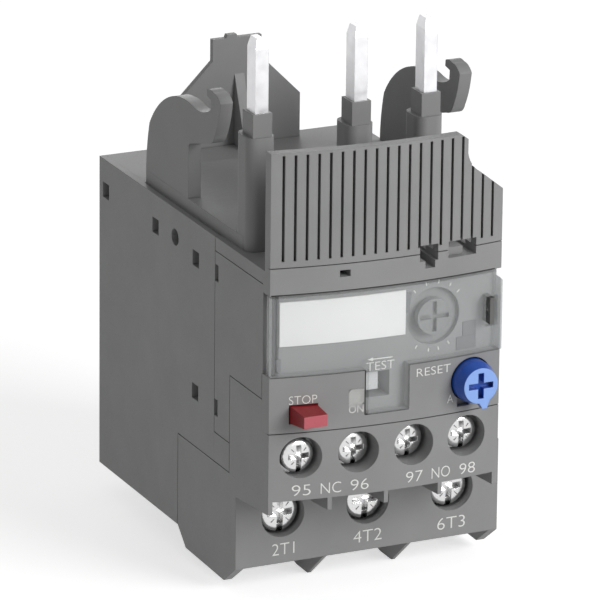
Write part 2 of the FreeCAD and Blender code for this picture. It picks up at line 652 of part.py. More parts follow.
def ribbed_hood():
    """The bowed finger guard over the front, with upright grooves and a stepped right end."""
    wall = skin((LEFT, FRONT_RIGHT), (S.strip_top, S.hood_top), 0.0, S.hood_wall)
    corner = prism("XZ", [
        (S.hood_step, S.hood_top + 1),
        (S.hood_step, S.hood_step_low),
        (S.hood_slope_start, S.hood_slope_high, S.hood_slope_round, 1),
        (FRONT_RIGHT, S.hood_end),
        (FRONT_RIGHT + 1, S.hood_end),
        (FRONT_RIGHT + 1, S.hood_top + 1),
    ], -REACH, 2 * REACH)
    bevel = prism("XZ", [
        (S.hood_step - S.hood_bevel_width, S.hood_top + 0.01),
        (S.hood_step + 0.01, S.hood_top + 0.01),
        (S.hood_step + 0.01, S.hood_top - S.hood_bevel_height),
    ], -REACH, 2 * REACH)
    count = int((S.front_width.value - S.rib_first.value) / S.rib_pitch.value)
    grooves = []
    for step in range(count):
        middle = LEFT + S.rib_first + S.rib_pitch * step
        grooves.append(block((middle - S.rib_groove / 2, middle + S.rib_groove / 2),
                             (-REACH, REACH),
                             (S.strip_top + S.rib_margin_low, S.hood_top - S.rib_margin_high)))
    ribs = cut(joined(*grooves), front_form(S.rib_groove_depth))
    notches = []
    for left, width in ((S.notch_left, S.notch_width), (S.ledge_left, S.ledge_width)):
        notches.append(block((left, left + width), (-REACH, REACH),
                             (S.strip_top - 1, S.strip_top + S.notch_rise)))
    keep("ribbed_hood", cut(wall, corner, bevel, ribs, front_seam(S.strip_top), *notches))


def control_block():
    """The upper terminal block with four screw bores and open wire entries below."""
    across = (LEFT, FRONT_RIGHT)
    side = S.front_side_wall
    upper = joined(
        block(across, (-REACH, S.shoulder_front), (S.control_floor, S.block_top)),
        block((LEFT, LEFT + side), (S.cheek_front, S.shoulder_front),
              (S.block_top - 1, S.cheek_top)),
        block((FRONT_RIGHT - side, FRONT_RIGHT), (S.cheek_front, S.shoulder_front),
              (S.block_top - 1, S.cheek_top)),
    )
    legs = []
    places = control_places()
    ends = [LEFT + S.control_leg / 2]
    ends += [(low + high) / 2 for low, high in zip(places, places[1:])]
    ends += [FRONT_RIGHT - 0.7 * S.control_leg]
    widths = [S.control_leg] * 4 + [1.4 * S.control_leg]
    for middle, width in zip(ends, widths):
        legs.append(prism("YZ", [
            (-REACH, S.control_floor + 0.5),
            (-REACH, S.control_leg_low + 0.6),
            (S.main_front, S.control_leg_rear),
            (S.main_front, S.control_floor + 0.5),
        ], middle - width / 2, width))
    seats = [
        spring_seat(-S.stop_across, S.stop_height, S.stop_stem, stop_spring_start()
                    + S.stop_spring_length, S.cheek_top),
        spring_seat(S.reset_across, S.reset_height, S.stem_radius, reset_spring_start()
                    + S.reset_spring_length,
                    S.reset_height + S.reset_spring_radius + S.stem_end),
    ]
    tools = []
    riser = S.control_clamp_back - S.clamp_wall
    for place in places:
        tools.append(rod("Y", (place, S.control_row_height), S.control_bore,
                         (-REACH, S.control_clamp_front + 0.5)))
        tools.append(block((place - S.control_clamp_half - S.button_gap,
                            place + S.control_clamp_half + S.button_gap),
                           (S.control_clamp_front, S.control_clamp_back + S.button_gap),
                           (S.control_leg_rear - 2, S.block_top - S.front_roof)))
        wide = S.contact_half + S.fit
        tools.append(block((place - wide, place + wide),
                           (riser - S.contact_strap_wall - S.fit, riser + S.fit),
                           (S.control_row_height, S.block_top + 1)))
    tools.append(side_seam((S.shoulder_front - S.seam_width, S.shoulder_front),
                           (S.control_floor, S.cheek_top)))
    body = cut(shared(joined(upper, *legs), front_form()), *tools)
    keep("control_block", joined(body, *seats))


def stop_spring_start():
    """Return the Y place of the stop button's flange, where its spring begins."""
    return S.front_wall_back + S.button_gap + S.flange_wall


def reset_spring_start():
    """Return the Y place of the reset stem's flange, where its spring begins."""
    return S.front_wall_back + S.reset_boss + S.button_gap + S.flange_wall


def spring_seat(x, z, stem, front, top):
    """A forked post on the terminal block that a return spring bears on, open for the stem."""
    half = stem + S.shaft_fit
    post = block((x - S.seat_post_half, x + S.seat_post_half),
                 (front, front + S.seat_post_wall), (S.block_top - 0.5, top))
    fork = block((x - half, x + half), (front - 1, front + S.seat_post_wall + 1),
                 (z - half, top + 1))
    return cut(post, fork)


def main_block():
    """The lower terminal block: three bores in front, funnel entries between barriers below."""
    half = S.phase_pitch / 2
    body = [block((LEFT, RIGHT), (S.main_front, S.main_back), (0, S.main_top))]
    back = S.keel_back
    for start in (LEFT, RIGHT - S.keel_wall):
        body.append(prism("YZ", [
            (S.main_front, 1.0), (S.main_front, 0.0), (S.keel_front, -S.keel_low),
            (back, -S.keel_low + 0.3), (S.main_back, 0.0), (S.main_back, 1.0),
        ], start, S.keel_wall))
    for side in (-1, 1):
        body.append(prism("YZ", [
            (S.main_front, 1.0), (S.main_front, 0.0), (S.barrier_front, -S.barrier_low),
            (S.barrier_front + 4, -S.barrier_low), (back, -S.keel_low + 0.3),
            (S.main_back, 0.0), (S.main_back, 1.0),
        ], side * half - S.barrier_wall / 2, S.barrier_wall))
    tools = []
    for place in phase_places():
        room = S.main_clamp_half + 0.15
        tools.append(rod("Y", (place, S.main_row_height), S.main_bore,
                         (0, S.main_clamp_front)))
        tools.append(block((place - room, place + room),
                           (S.main_clamp_front - 0.15, S.main_clamp_back + 0.15),
                           (-2 * REACH, S.bimetal_foot + S.fit)))
        wide = S.load_strap_half + S.fit
        tools.append(block((place - wide, place + wide), (S.main_clamp_front, S.main_back + 1),
                           (S.bimetal_foot - S.strap_wall - S.fit, S.bimetal_foot + S.fit)))
        tools.append(prism("XZ", [
            (place - half + S.keel_wall, -0.01), (place + half - S.keel_wall, -0.01),
            (place + room, 2.2), (place - room, 2.2),
        ], S.main_front + 1.2, S.main_clamp_back - S.main_front))
    keep("main_block", cut(joined(*body), *tools))


# ---------------------------------------------------------------- mounting frame

def mounting_frame():
    """The plate on the roof with the three insulating columns round the line pins."""
    deck = (S.housing_height, S.housing_height + S.frame_plate)
    solids = [
        block((-S.frame_half, S.frame_half), (S.column_back - 1, S.frame_back), deck),
        block((-S.frame_half, FRONT_RIGHT - 0.2), (S.frame_front, S.column_back), deck),
    ]
    holes = []
    for place in pin_places():
        column = block((place - S.column_half, place + S.column_half),
                       (S.column_front, S.column_back), (S.housing_height, S.column_top))
        solids.append(rounded(column, S.column_round, upright))
        collar = block((place - S.collar_half, place + S.collar_half),
                       (S.collar_front, S.collar_back), (S.column_top - 1, S.collar_top))
        solids.append(collar)
        holes.append(block((place - S.pin_width / 2, place + S.pin_width / 2),
                           (S.pin_front + S.pin_shoulder, S.pin_front + S.pin_depth),
                           (S.housing_height - 1, S.collar_top + 1)))
    keep("mounting_frame", cut(joined(*solids), *holes))


def upright(edge):
    """Tell whether an edge is straight and vertical."""
    ends = [vertex.Point for vertex in edge.Vertexes]
    return len(ends) == 2 and (ends[1] - ends[0]).cross(FreeCAD.Vector(0, 0, 1)).Length < 1e-6


def hooks():
    """The two side hooks: a domed upright with an arm and an up-turned claw in front."""
    foot = S.housing_height + S.frame_plate
    rear, unit = S.frame_back, S.hook_unit
    shape = [
        (rear, foot),
        (rear - 1.25 * unit, foot + 8.1 * unit, 30.0 * unit, 1),
        (rear - 11.5 * unit, foot + 15.25 * unit, 17.0 * unit, 1),
        (rear - 18.1 * unit, foot + 15.3 * unit, 16.0 * unit, 1),
        (rear - 23.75 * unit, foot + 16.3 * unit, 9.5 * unit, -1),
        (rear - 24.3 * unit, foot + 16.7 * unit),
        (rear - 24.4 * unit, foot + 18.2 * unit),
        (rear - 22.8 * unit, foot + 18.5 * unit),
        (rear - 22.9 * unit, foot + 19.5 * unit),
        (rear - 25.2 * unit, foot + 19.65 * unit, 3.0 * unit, 1),
        (rear - 27.9 * unit, foot + 18.5 * unit, 3.2 * unit, 1),
        (rear - 27.6 * unit, foot + 17.2 * unit),
        (rear - 25.8 * unit, foot + 12.8 * unit, 14.0 * unit, 1),
        (rear - 23.6 * unit, foot + 11.1 * unit, 2.6 * unit, 1),
        (rear - 17.0 * unit, foot + 9.15 * unit),
        (rear - 16.2 * unit, foot + 8.5 * unit, 0.8 * unit, -1),
        (rear - 16.1 * unit, foot),
    ]
    for node, start in (("left_hook", -S.frame_half), ("right_hook", S.frame_half - S.hook_wall)):
        keep(node, prism("YZ", shape, start, S.hook_wall))


def latch_plate():
    """The rear plate that snaps behind the contactor, with its gusset."""
    half, head = S.latch_half, S.latch_head
    roof = S.housing_height
    plate = prism("XZ", [
        (-half, roof), (half, roof), (half, S.latch_shoulder), (head, S.latch_neck),
        (head, S.latch_top), (0.1, S.latch_top), (-0.1, S.latch_top + 0.55),
        (-1.7, S.latch_top + 0.55), (-1.9, S.latch_top), (-head, S.latch_top),
        (-head, S.latch_neck), (-half, S.latch_shoulder),
    ], S.latch_back - S.latch_wall, S.latch_wall)
    face = S.latch_back - S.latch_wall
    gusset = prism("YZ", [
        (face - S.gusset_foot, roof), (face + 1, roof), (face + 1, S.gusset_top),
        (face, S.gusset_top),
    ], -S.gusset_wall / 4, S.gusset_wall)
    keep("latch_plate", joined(plate, gusset))


# ---------------------------------------------------------------- current path

def line_pins():
    """The three line pins, each with the strap that leads back to its heater."""
    for number, (place, phase) in enumerate(zip(pin_places(), phase_places()), start=1):
        across = (place - S.pin_width / 2, place + S.pin_width / 2)
        back = S.pin_front + S.pin_depth
        tip = S.pin_top - S.pin_taper
        inset = S.pin_width / 4
        behind = S.pin_front + S.pin_shoulder
        blade = block(across, (S.pin_front, back), (S.collar_top, tip))
        shank = block(across, (behind, back), (S.strap_height, S.collar_top + 1))
        point = prism("XZ", [
            (across[0], tip - 0.5), (across[1], tip - 0.5), (across[1], tip),
            (across[1] - inset, S.pin_top), (across[0] + inset, S.pin_top), (across[0], tip),
        ], S.pin_front, S.pin_depth)
        bevel = prism("YZ", [
            (S.pin_front - 0.01, tip), (S.pin_front - 0.01, S.pin_top + 0.01),
            (S.pin_front + S.pin_taper / 2, S.pin_top + 0.01),
        ], across[0] - 1, S.pin_width + 2)
        drop = (S.strap_drop_front, S.strap_drop_front + 1.5 * S.strap_wall)
        strap = block(across, (behind, drop[1]),
                      (S.strap_height, S.strap_height + S.strap_wall))
        fall = block(across, drop, (S.heater_lead_height, S.strap_height + S.fit))
        end = phase - S.bimetal_wall / 2 - S.heater_sleeve - S.heater_wall - S.lead_gap
        lead = block((across[0], end), drop,
                     (S.heater_lead_height, S.heater_lead_height + S.strap_wall))
        plate = block((end - S.strap_wall, end), (drop[0], S.bimetal_front + S.bimetal_width),
                      (S.heater_lead_height, S.heater_lead_height + S.strap_wall))
        keep("line_pin_{}".format(number),
             joined(cut(joined(blade, point), bevel), shank, strap, fall, lead, plate))


def load_straps():
    """The three straps from the bimetal feet down into the main clamps."""
    for number, place in enumerate(phase_places(), start=1):
        across = (place - S.load_strap_half, place + S.load_strap_half)
        back = S.main_clamp_back - S.clamp_wall - S.pin_fit
        level = block(across, (back - S.strap_wall, S.bimetal_front + S.bimetal_width),
                      (S.bimetal_foot - S.strap_wall, S.bimetal_foot))
        upright_leg = block(across, (back - S.strap_wall, back),
                            (S.load_strap_low, S.bimetal_foot))
        keep("load_strap_{}".format(number), joined(level, upright_leg))


def bimetals():
    """The three bimetal strips, each with its insulated heater ribbon."""
    back = S.bimetal_front + S.bimetal_width
    for number, place in enumerate(phase_places(), start=1):
        half = S.bimetal_wall / 2
        pivot = S.bimetal_foot + S.bimetal_roll
        strip = block((place - half, place + half), (S.bimetal_front, back),
                      (pivot, S.bimetal_top))
        foot = rod("Y", (place, pivot), S.bimetal_roll, (S.bimetal_front, back))
        keep("bimetal_{}".format(number), joined(strip, foot))
        sleeve = half + S.heater_sleeve
        ring = sleeve + S.heater_wall
        tube = block((place - sleeve, place + sleeve),
                     (S.bimetal_front - S.heater_sleeve, back + S.heater_sleeve),
                     (S.heater_low, S.heater_high))
        step = (S.heater_high - S.heater_low) / S.heater_turns
        turns = []
        for turn in range(int(S.heater_turns.value)):
            low = S.heater_low + step * (turn + 0.5) - S.heater_ribbon / 2
            turns.append(block((place - ring, place + ring),
                               (S.bimetal_front - S.heater_sleeve - S.heater_wall,
                                back + S.heater_sleeve + S.heater_wall),
                               (low, low + S.heater_ribbon)))
        core = block((place - half, place + half), (S.bimetal_front, back),
                     (S.heater_low - 1, S.heater_high + 1))
        keep("heater_{}".format(number), cut(joined(tube, *turns), core))


def control_contacts():
    """The four fixed contacts that stand on the control clamps."""
    names = ("95", "96", "97", "98")
    low = S.control_row_height + 0.5
    for index, (name, place) in enumerate(zip(names, control_places())):
        inward = 1 if index % 2 == 0 else -1
        half = S.contact_half
        strap = (S.contact_strap_front, S.contact_strap_front + S.contact_strap_wall)
        foot_back = S.control_clamp_back - S.clamp_wall
        foot_front = foot_back - S.contact_strap_wall
        riser = block((place - half, place + half), (foot_front, foot_back),
                      (low, S.block_top + S.contact_strap_wall))
        shelf = block((place - half, place + half), (foot_front, strap[1]),
                      (S.block_top + 0.02, S.block_top + S.contact_strap_wall))
        post = block((place - half, place + half), strap, (S.block_top + 0.02, S.contact_height))
        reach = half + S.contact_reach - S.stem_end
        tip_across = (place - half, place + reach)
        if inward < 0:
            tip_across = (place - reach, place + half)
        tip = block(tip_across, (S.bridge_front, strap[1]),
                    (S.contact_height - S.contact_strap_wall, S.contact_height))
        keep("fixed_contact_" + name, joined(riser, shelf, post, tip))


def bridge_span(first):
    """Return the X limits of the moving bridge over two neighbouring control contacts."""
    places = control_places()
    middle = (places[first] + places[first + 1]) / 2
    half = S.control_pitch / 2 - S.contact_half
    return middle, (middle - half, middle + half)


def contact_carrier():
    """The moulded carrier that lifts both bridges, and the flag that it moves."""
    high = S.carrier_low + S.carrier_wall
    deep = (S.bridge_front - S.carrier_play, S.bridge_back + S.carrier_play)
    half = S.carrier_post_half
    closed_middle, closed = bridge_span(0)
    open_middle, opened = bridge_span(2)
    closed_low = S.contact_height + S.touch_gap
    open_high = S.contact_height - S.contact_strap_wall - S.contact_travel - 2 * S.touch_gap
    bridges = (
        ("nc_bridge", closed_middle, closed, (closed_low, closed_low + S.bridge_wall)),
        ("no_bridge", open_middle, opened, (open_high - S.bridge_wall, open_high)),
    )
    finger = (S.lift_arm_end - S.flag_arm_gap, S.lift_arm_end + S.lift_arm_wall)
    solids = [block((closed_middle - half, finger[1]), deep, (S.carrier_low, high))]
    for node, middle, across, tall in bridges:
        keep(node, block(across, (S.bridge_front, S.bridge_back), tall))
        post = block((middle - half, middle + half), deep,
                     (tall[0] - S.contact_strap_wall, S.carrier_low + 1))
        solids.append(cut(post, block(across, (S.bridge_front, S.bridge_back), tall)))
    solids.append(block(finger, (S.crank_front, deep[1]), (S.carrier_low, high)))
    flag = (-S.flag_left + S.button_gap, S.flag_width - S.flag_left - S.button_gap)
    lever = (flag[0], flag[1] - S.flag_arm_gap)
    crown = S.flag_low + S.flag_tall
    arm = block(lever, (S.flag_wall - S.flag_face, deep[0] - S.fit), (crown - 0.5, crown + 0.5))
    stem = block(lever, (deep[0] - S.strap_wall, deep[0] - S.fit), (crown - 0.5, high))
    tie = block(lever, (deep[0] - S.strap_wall, deep[0] + 1), (S.carrier_low, high))
    keep("contact_carrier", joined(*solids, arm, stem, tie))
    keep("trip_flag", block(flag, (-S.flag_face, S.flag_wall - S.flag_face),
                            (S.flag_low - S.flag_margin, crown + S.flag_margin)))


# ---------------------------------------------------------------- trip mechanism

def slide_bars():
    """The two slide bars that the bimetal tips push; the lower one has the nose."""
    for node, level in (("drive_bar", 0), ("differential_bar", 1)):
        low = S.bar_height + S.bar_spacing * level
        tall = (low, low + S.bar_wall)
        windows = []
        for place in phase_places():
            half = S.bimetal_wall / 2 + S.bar_play
            windows.append(block((place - half, place + half),
                                 (S.bimetal_front - S.bar_play,
                                  S.bimetal_front + S.bimetal_width + S.bar_play),
                                 (low - 1, low + 2)))
        bar = block((-S.bar_half, S.bar_half), (S.bar_front, S.bar_back), tall)
        if level == 0:
            face = S.crank_across - S.crank_arm / 2 - S.crank_gap
            nose = block((face - S.bar_wall, face),
                         (S.crank_rear - S.crank_arm_length, S.bar_front + 1), tall)
            bar = joined(bar, nose)
        keep(node, cut(bar, *windows))


def trip_crank():
    """The shaft that turns the bars' push into the carrier's lift."""
    centre = (S.crank_across, S.crank_height)
    shaft = rod("Y", centre, S.crank_shaft, (S.crank_front, S.crank_rear))
    half = S.crank_arm / 2
    rear = block((S.crank_across - half, S.crank_across + half),
                 (S.crank_rear - S.crank_arm_length, S.crank_rear),
                 (S.crank_height, S.crank_height + S.crank_arm_rise))
    front = block((S.lift_arm_end, S.crank_across),
                  (S.crank_front, S.crank_front + S.lift_arm_wall),
                  (S.crank_height - half, S.crank_height + half))
    keep("trip_crank", joined(shaft, rear, front))


# ---------------------------------------------------------------- terminals

def control_terminals():
    """The four control screws and their saddle clamps."""
    screws, clamps = [], []
    seat, row = S.control_clamp_front, S.control_row_height
    for place in control_places():
        centre = (place, row)
        screws.append(slotted_screw(centre, (S.control_head, S.control_head_tall), seat,
                                    (S.control_shank, S.control_shank_length), S.control_slot))
        clamps.append(clamp(centre, S.control_clamp_half, (seat, S.control_clamp_back),
                            (row - S.control_clamp_drop, row + S.control_clamp_rise),
                            S.control_clamp_hole))
    keep("control_screws", group(*screws))
    keep("control_clamps", group(*clamps))


def main_terminals():
    """The three main screws and their cage clamps."""
    screws, clamps = [], []
    seat = S.main_clamp_front
    for place in phase_places():
        centre = (place, S.main_row_height)
        screws.append(slotted_screw(centre, (S.main_head, S.main_head_tall), seat,
                                    (S.main_shank, S.main_shank_length), S.main_slot))
        clamps.append(clamp(centre, S.main_clamp_half, (seat, S.main_clamp_back),
                            (S.main_clamp_low, S.bimetal_foot - S.strap_wall - S.fit),
                            S.main_clamp_hole))
    keep("main_screws", group(*screws))
    keep("main_clamps", group(*clamps))


def slotted_screw(centre, head, seat, shank, slot):
    """A pan-head clamp screw along Y with a cross slot; head and shank give radius and length."""
    face = seat - head[1]
    pan = rod("Y", centre, head[0], (face, seat))
    stem = rod("Y", centre, shank[0], (seat - S.fit, seat + shank[1]))
    arms = []
    for across, tall_half in ((head[0] * 0.68, slot / 2), (slot / 2, head[0] * 0.68)):
        arms.append(block((centre[0] - across, centre[0] + across),
                          (face - 1, face + S.screw_slot_depth),
                          (centre[1] - tall_half, centre[1] + tall_half)))
    return cut(joined(pan, stem), *arms)


def clamp(centre, half, deep, tall, hole):
    """A box clamp, open above and below, whose thick front wall takes the screw."""
    outer = block((centre[0] - half, centre[0] + half), deep, tall)
    inner = block((centre[0] - half + S.clamp_wall, centre[0] + half - S.clamp_wall),
                  (deep[0] + S.clamp_nut, deep[1] - S.clamp_wall), (tall[0] - 1, tall[1] + 1))
    return cut(outer, inner, rod("Y", centre, hole, (deep[0] - 1, deep[0] + S.clamp_nut + 1)))


# ---------------------------------------------------------------- operators

def stop_button():
    """The stop button with its tapered nose, inner flange and spring stem."""
    gap = S.button_gap
    x, z = -S.stop_across, S.stop_height
    root_half = (S.stop_slot_width / 2 - gap, S.stop_slot_tall / 2 - gap)
    nose_half = (S.stop_nose_width / 2, S.stop_nose_tall / 2)
    flange = S.front_wall_back + gap
    middle = x + S.stop_nose_shift
    nose = wedge((-S.stop_nose, -0.4), (middle - nose_half[0], middle + nose_half[0]),
                 (z - nose_half[1], z + nose_half[1]), (x - root_half[0], x + root_half[0]),
                 (z - root_half[1], z + root_half[1]))
    trunk = block((x - root_half[0], x + root_half[0]), (-0.4, flange + 0.5),
                  (z - root_half[1], z + root_half[1]))
    rim = S.flange_rim
    lip = block((x - root_half[0] - rim, x + root_half[0] + rim),
                (flange, flange + S.flange_wall), (z - root_half[1], z + root_half[1] + rim))
    stem = rod("Y", (x, z), S.stop_stem,
               (flange, flange + S.flange_wall + S.stop_spring_length + S.stem_end))
    keep("stop_button", joined(nose, trunk, lip, stem))


def reset_operator():
    """The reset stem, which is pressed, and the knob on it, which also turns."""
    x, z = S.reset_across, S.reset_height
    start = reset_spring_start()
    nose = -S.knob_nose
    tip = nose + S.slot_depth + S.contact_strap_wall
    wide = S.knob_face
    stem = rod("Y", (x, z), S.stem_radius, (tip, start + S.reset_spring_length + S.stem_end))
    lip = block((x - wide, x + wide), (start - S.flange_wall, start), (z - wide, z + wide))
    keep("reset_stem", joined(stem, lip))
    bevel = cone("Y", (x, z), (S.knob_face, S.knob_radius), (nose, nose + S.knob_bevel))
    drum = rod("Y", (x, z), S.knob_radius, (nose + S.knob_bevel, S.knob_back))
    pointer = prism("XZ", [
        (x - 1.0, z - S.knob_face + 1.4), (x + 0.3, z - S.pointer_reach),
        (x + 1.05, z - S.pointer_reach), (x + 1.9, z - S.knob_face + 1.4),
    ], nose, S.pointer_depth)
    bore = rod("Y", (x, z), S.stem_radius + S.shaft_fit, (tip - S.stem_end, S.knob_back + 1))
    arms = []
    for across, tall in ((S.knob_face * 0.72, S.slot_width / 2),
                         (S.slot_width / 2, S.knob_face * 0.72)):
        arm = block((x - across, x + across), (nose - 1, nose + S.slot_depth),
                    (z - tall, z + tall))
        arms.append(arm)
    keep("reset_knob", cut(joined(bevel, drum, pointer), bore, *arms))


def setting_dial():
    """The current dial on its shaft, and the eccentric cam that holds it behind the wall."""
    x, z = S.dial_across, S.dial_height
    nose, behind = -S.dial_nose, S.front_wall_back + S.fit
    face = rod("Y", (x, z), S.dial_radius, (nose, nose + S.dial_wall))
    shaft = rod("Y", (x, z), S.dial_shaft, (nose + 0.5, behind + S.cam_wall + S.stem_end))
    long, half = S.dial_radius * 0.85, S.dial_slot / 2
    arms = []
    for across, tall in ((long, half), (half, long)):
        arms.append(block((x - across, x + across), (nose - 1, nose + S.dial_slot_depth),
                          (z - tall, z + tall)))
    keep("setting_dial", cut(joined(face, shaft), *arms))
    cam = rod("Y", (x + S.cam_throw, z), S.cam_radius, (behind, behind + S.cam_wall))
    keep("setting_cam", cut(cam, rod("Y", (x, z), S.dial_shaft, (behind - 1, behind + 4))))


def test_slide():
    """The small white slide in the test window."""
    gap = S.button_gap
    left = -S.test_left + gap
    face = block((left, left + S.test_block), (S.test_face, S.front_wall_back + 0.5),
                 (S.test_low + S.test_foot, S.test_low + S.test_tall - gap))
    foot = block((left, left + S.test_block), (S.front_wall_back + gap, S.front_wall_back + 1),
                 (S.test_low + S.test_foot, S.test_low + S.test_tall + S.stem_end))
    keep("test_slide", joined(face, foot))


def clear_cover():
    """The clear cover with its tab over the test window, on an upright hinge at the left."""
    gap = S.piece_gap
    outer, inner = -S.cover_proud, S.cover_wall - S.cover_proud
    tall = (S.cover_bottom + gap, S.cover_top - gap)
    left, right = LEFT + 0.05, FRONT_RIGHT - 0.05
    pane = skin((left, right), tall, outer, inner)
    tab = skin((gap - S.tab_left, S.tab_width - S.tab_left - gap),
               (S.tab_low + gap, S.cover_bottom + 1), outer, inner)
    lip = cut(bowed((right - S.cover_lip, right), S.housing_front, tall, outer),
              front_form(S.seat_depth - S.fit))
    slant = prism("XZ", [
        (right - S.cover_bevel_width, tall[1]), (right, tall[1] - S.cover_bevel_height),
        (right + 1, tall[1] - S.cover_bevel_height), (right + 1, tall[1] + 1),
        (right - S.cover_bevel_width, tall[1] + 1),
    ], -REACH, 2 * REACH)
    hinge = (LEFT + S.hinge_inset, S.hinge_back)
    barrel = rod("Z", hinge, S.hinge_barrel, tall)
    web = block((hinge[0] - S.hinge_web, hinge[0] + S.hinge_web), (-S.fit, S.hinge_back), tall)
    hole = rod("Z", hinge, S.hinge_pin + S.shaft_fit, (tall[0] - 1, tall[1] + 1))
    slot_half = S.seal_slot / 2
    slot = block((S.seal_across - slot_half, S.seal_across + slot_half), (-REACH, REACH),
                 (S.seal_low - 0.3, S.seal_low + S.seal_tall + 0.3))
    keep("clear_cover", cut(joined(pane, tab, lip, barrel, web), hole, slot, slant))
    keep("cover_pin", rod("Z", hinge, S.hinge_pin,
                          (S.cover_bottom - S.pin_seat, S.cover_top + S.pin_seat)))


def trim():
    """The name label and the sealing lug that shows through the cover's slot."""
    keep("name_label", skin((-S.label_left, S.label_width - S.label_left),
                            (S.label_low, S.label_low + S.label_tall),
                            S.seat_depth - S.label_wall, S.seat_depth))
    half = S.seal_wall / 2
    tall = (S.seal_low, S.seal_low + S.seal_tall)
    lug = cut(bowed((S.seal_across - half, S.seal_across + half), S.housing_front, tall,
                    -S.seal_proud), front_form(S.seat_depth))
    hole = rod("X", (-S.seal_eye, S.seal_low + S.seal_tall / 2), S.seal_hole,
               (S.seal_across - 2, S.seal_across + 2))
    keep("seal_lug", cut(lug, hole))


def coil(node, centre, radius, start, length):
    """A compression spring along Y: a six-sided wire swept along a helix of straight chords."""
    wire_radius, chords = S.spring_wire.value, int(S.spring_chords.value)
    steps = int(S.spring_turns.value * chords)
    rise = (length.value - 2 * wire_radius) / steps
    points = []
    for step in range(steps + 1):
        angle = 2 * math.pi * step / chords
        points.append(FreeCAD.Vector(radius.value * math.cos(angle),
                                     radius.value * math.sin(angle), rise * step))
    along = (points[1] - points[0]).normalize()
    aside = (FreeCAD.Vector(1, 0, 0) - along * along.x).normalize()
    above = along.cross(aside)
    ring = []
    for side in range(7):
        angle = math.pi * side / 3
        ring.append(points[0] + aside * wire_radius * math.cos(angle)
                    + above * wire_radius * math.sin(angle))
    item = DOC.addObject("Part::Feature", "coil")
    item.Shape = Part.makePolygon(points).makePipeShell([Part.makePolygon(ring)], True, False, 1)
    item.Placement = FreeCAD.Placement(FreeCAD.Vector(),
                                       FreeCAD.Rotation(FreeCAD.Vector(1, 0, 0), -90))
    settle(item, (centre[0], start + S.spring_wire, centre[1]))
    keep(node, item)


def springs():
    """The return springs of the stop button and the reset stem."""
    coil("stop_spring", (-S.stop_across, S.stop_height), S.stop_spring_radius,
         stop_spring_start(), S.stop_spring_length)
    coil("reset_spring", (S.reset_across, S.reset_height), S.reset_spring_radius,
         reset_spring_start(), S.reset_spring_length)


def build():
    """Make every piece, check it and write it."""
    for maker in (side_cover, main_housing, front_housing, ribbed_hood, control_block,
                  main_block, mounting_frame, hooks, latch_plate, line_pins, load_straps,
                  bimetals, control_contacts, contact_carrier, slide_bars, trip_crank,
                  control_terminals, main_terminals, stop_button, reset_operator,
                  setting_dial, test_slide, clear_cover, trim, springs):
        maker()
    DOC.recompute()
    for item in DOC.Objects:
        if "Invalid" in item.State or "Error" in item.State:
            raise RuntimeError("{} ({}) failed: {}".format(item.Label, item.Name, item.State))
    os.makedirs("parts", exist_ok=True)
    for item in PARTS:
        shape = item.Shape
        if shape.isNull() or not shape.isValid() or shape.Volume <= 0:
            raise RuntimeError("{} has no valid shape".format(item.Label))
        shape.exportStep("parts/{}.step".format(item.Label))
    print("pieces", len(PARTS))


build()
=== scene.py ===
"""Looks of a plug-in thermal overload relay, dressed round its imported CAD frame."""
import logging
import math
from dataclasses import dataclass, field
from enum import Enum
from typing import Iterable, Optional, Sequence

import bmesh
import bpy
from mathutils import Matrix, Vector


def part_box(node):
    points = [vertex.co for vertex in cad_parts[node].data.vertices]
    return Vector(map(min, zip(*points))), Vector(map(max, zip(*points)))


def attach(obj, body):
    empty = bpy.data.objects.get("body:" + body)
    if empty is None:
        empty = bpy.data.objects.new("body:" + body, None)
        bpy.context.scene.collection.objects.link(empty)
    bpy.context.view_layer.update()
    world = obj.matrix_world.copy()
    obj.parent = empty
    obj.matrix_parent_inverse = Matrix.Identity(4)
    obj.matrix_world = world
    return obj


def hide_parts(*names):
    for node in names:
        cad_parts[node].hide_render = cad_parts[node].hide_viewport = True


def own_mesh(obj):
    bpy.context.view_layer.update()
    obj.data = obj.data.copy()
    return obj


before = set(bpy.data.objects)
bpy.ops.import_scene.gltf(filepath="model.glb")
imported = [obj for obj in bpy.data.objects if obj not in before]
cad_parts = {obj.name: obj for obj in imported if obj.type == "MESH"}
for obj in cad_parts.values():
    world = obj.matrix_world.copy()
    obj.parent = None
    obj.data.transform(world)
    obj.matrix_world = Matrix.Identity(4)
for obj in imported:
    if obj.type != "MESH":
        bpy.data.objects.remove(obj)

LOG = logging.getLogger("relay")
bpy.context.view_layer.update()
MM = 0.001
SRGB_KNEE = 0.04045
# Shares of a noise's range that are cut off at either end.
BAND = 0.3
FINE_BAND = 0.35
Tree = bpy.types.NodeTree
Colour = tuple[float, float, float, float]
Settings = dict[str, object]
# A node and the name of one of its outputs.
Output = tuple[bpy.types.Node, str]
Links = dict[str, Output]


def linear(code: str) -> Colour:
    """Turn an sRGB hex code into a linear colour.

    Args:
        code: Six hex digits after a hash sign.

    Returns:
        Linear red, green, blue and an alpha of one.
    """
    parts = [int(code[place:place + 2], 16) / 255 for place in (1, 3, 5)]
    shades = [p / 12.92 if p <= SRGB_KNEE else ((p + 0.055) / 1.055) ** 2.4 for p in parts]
    return (*shades, 1.0)


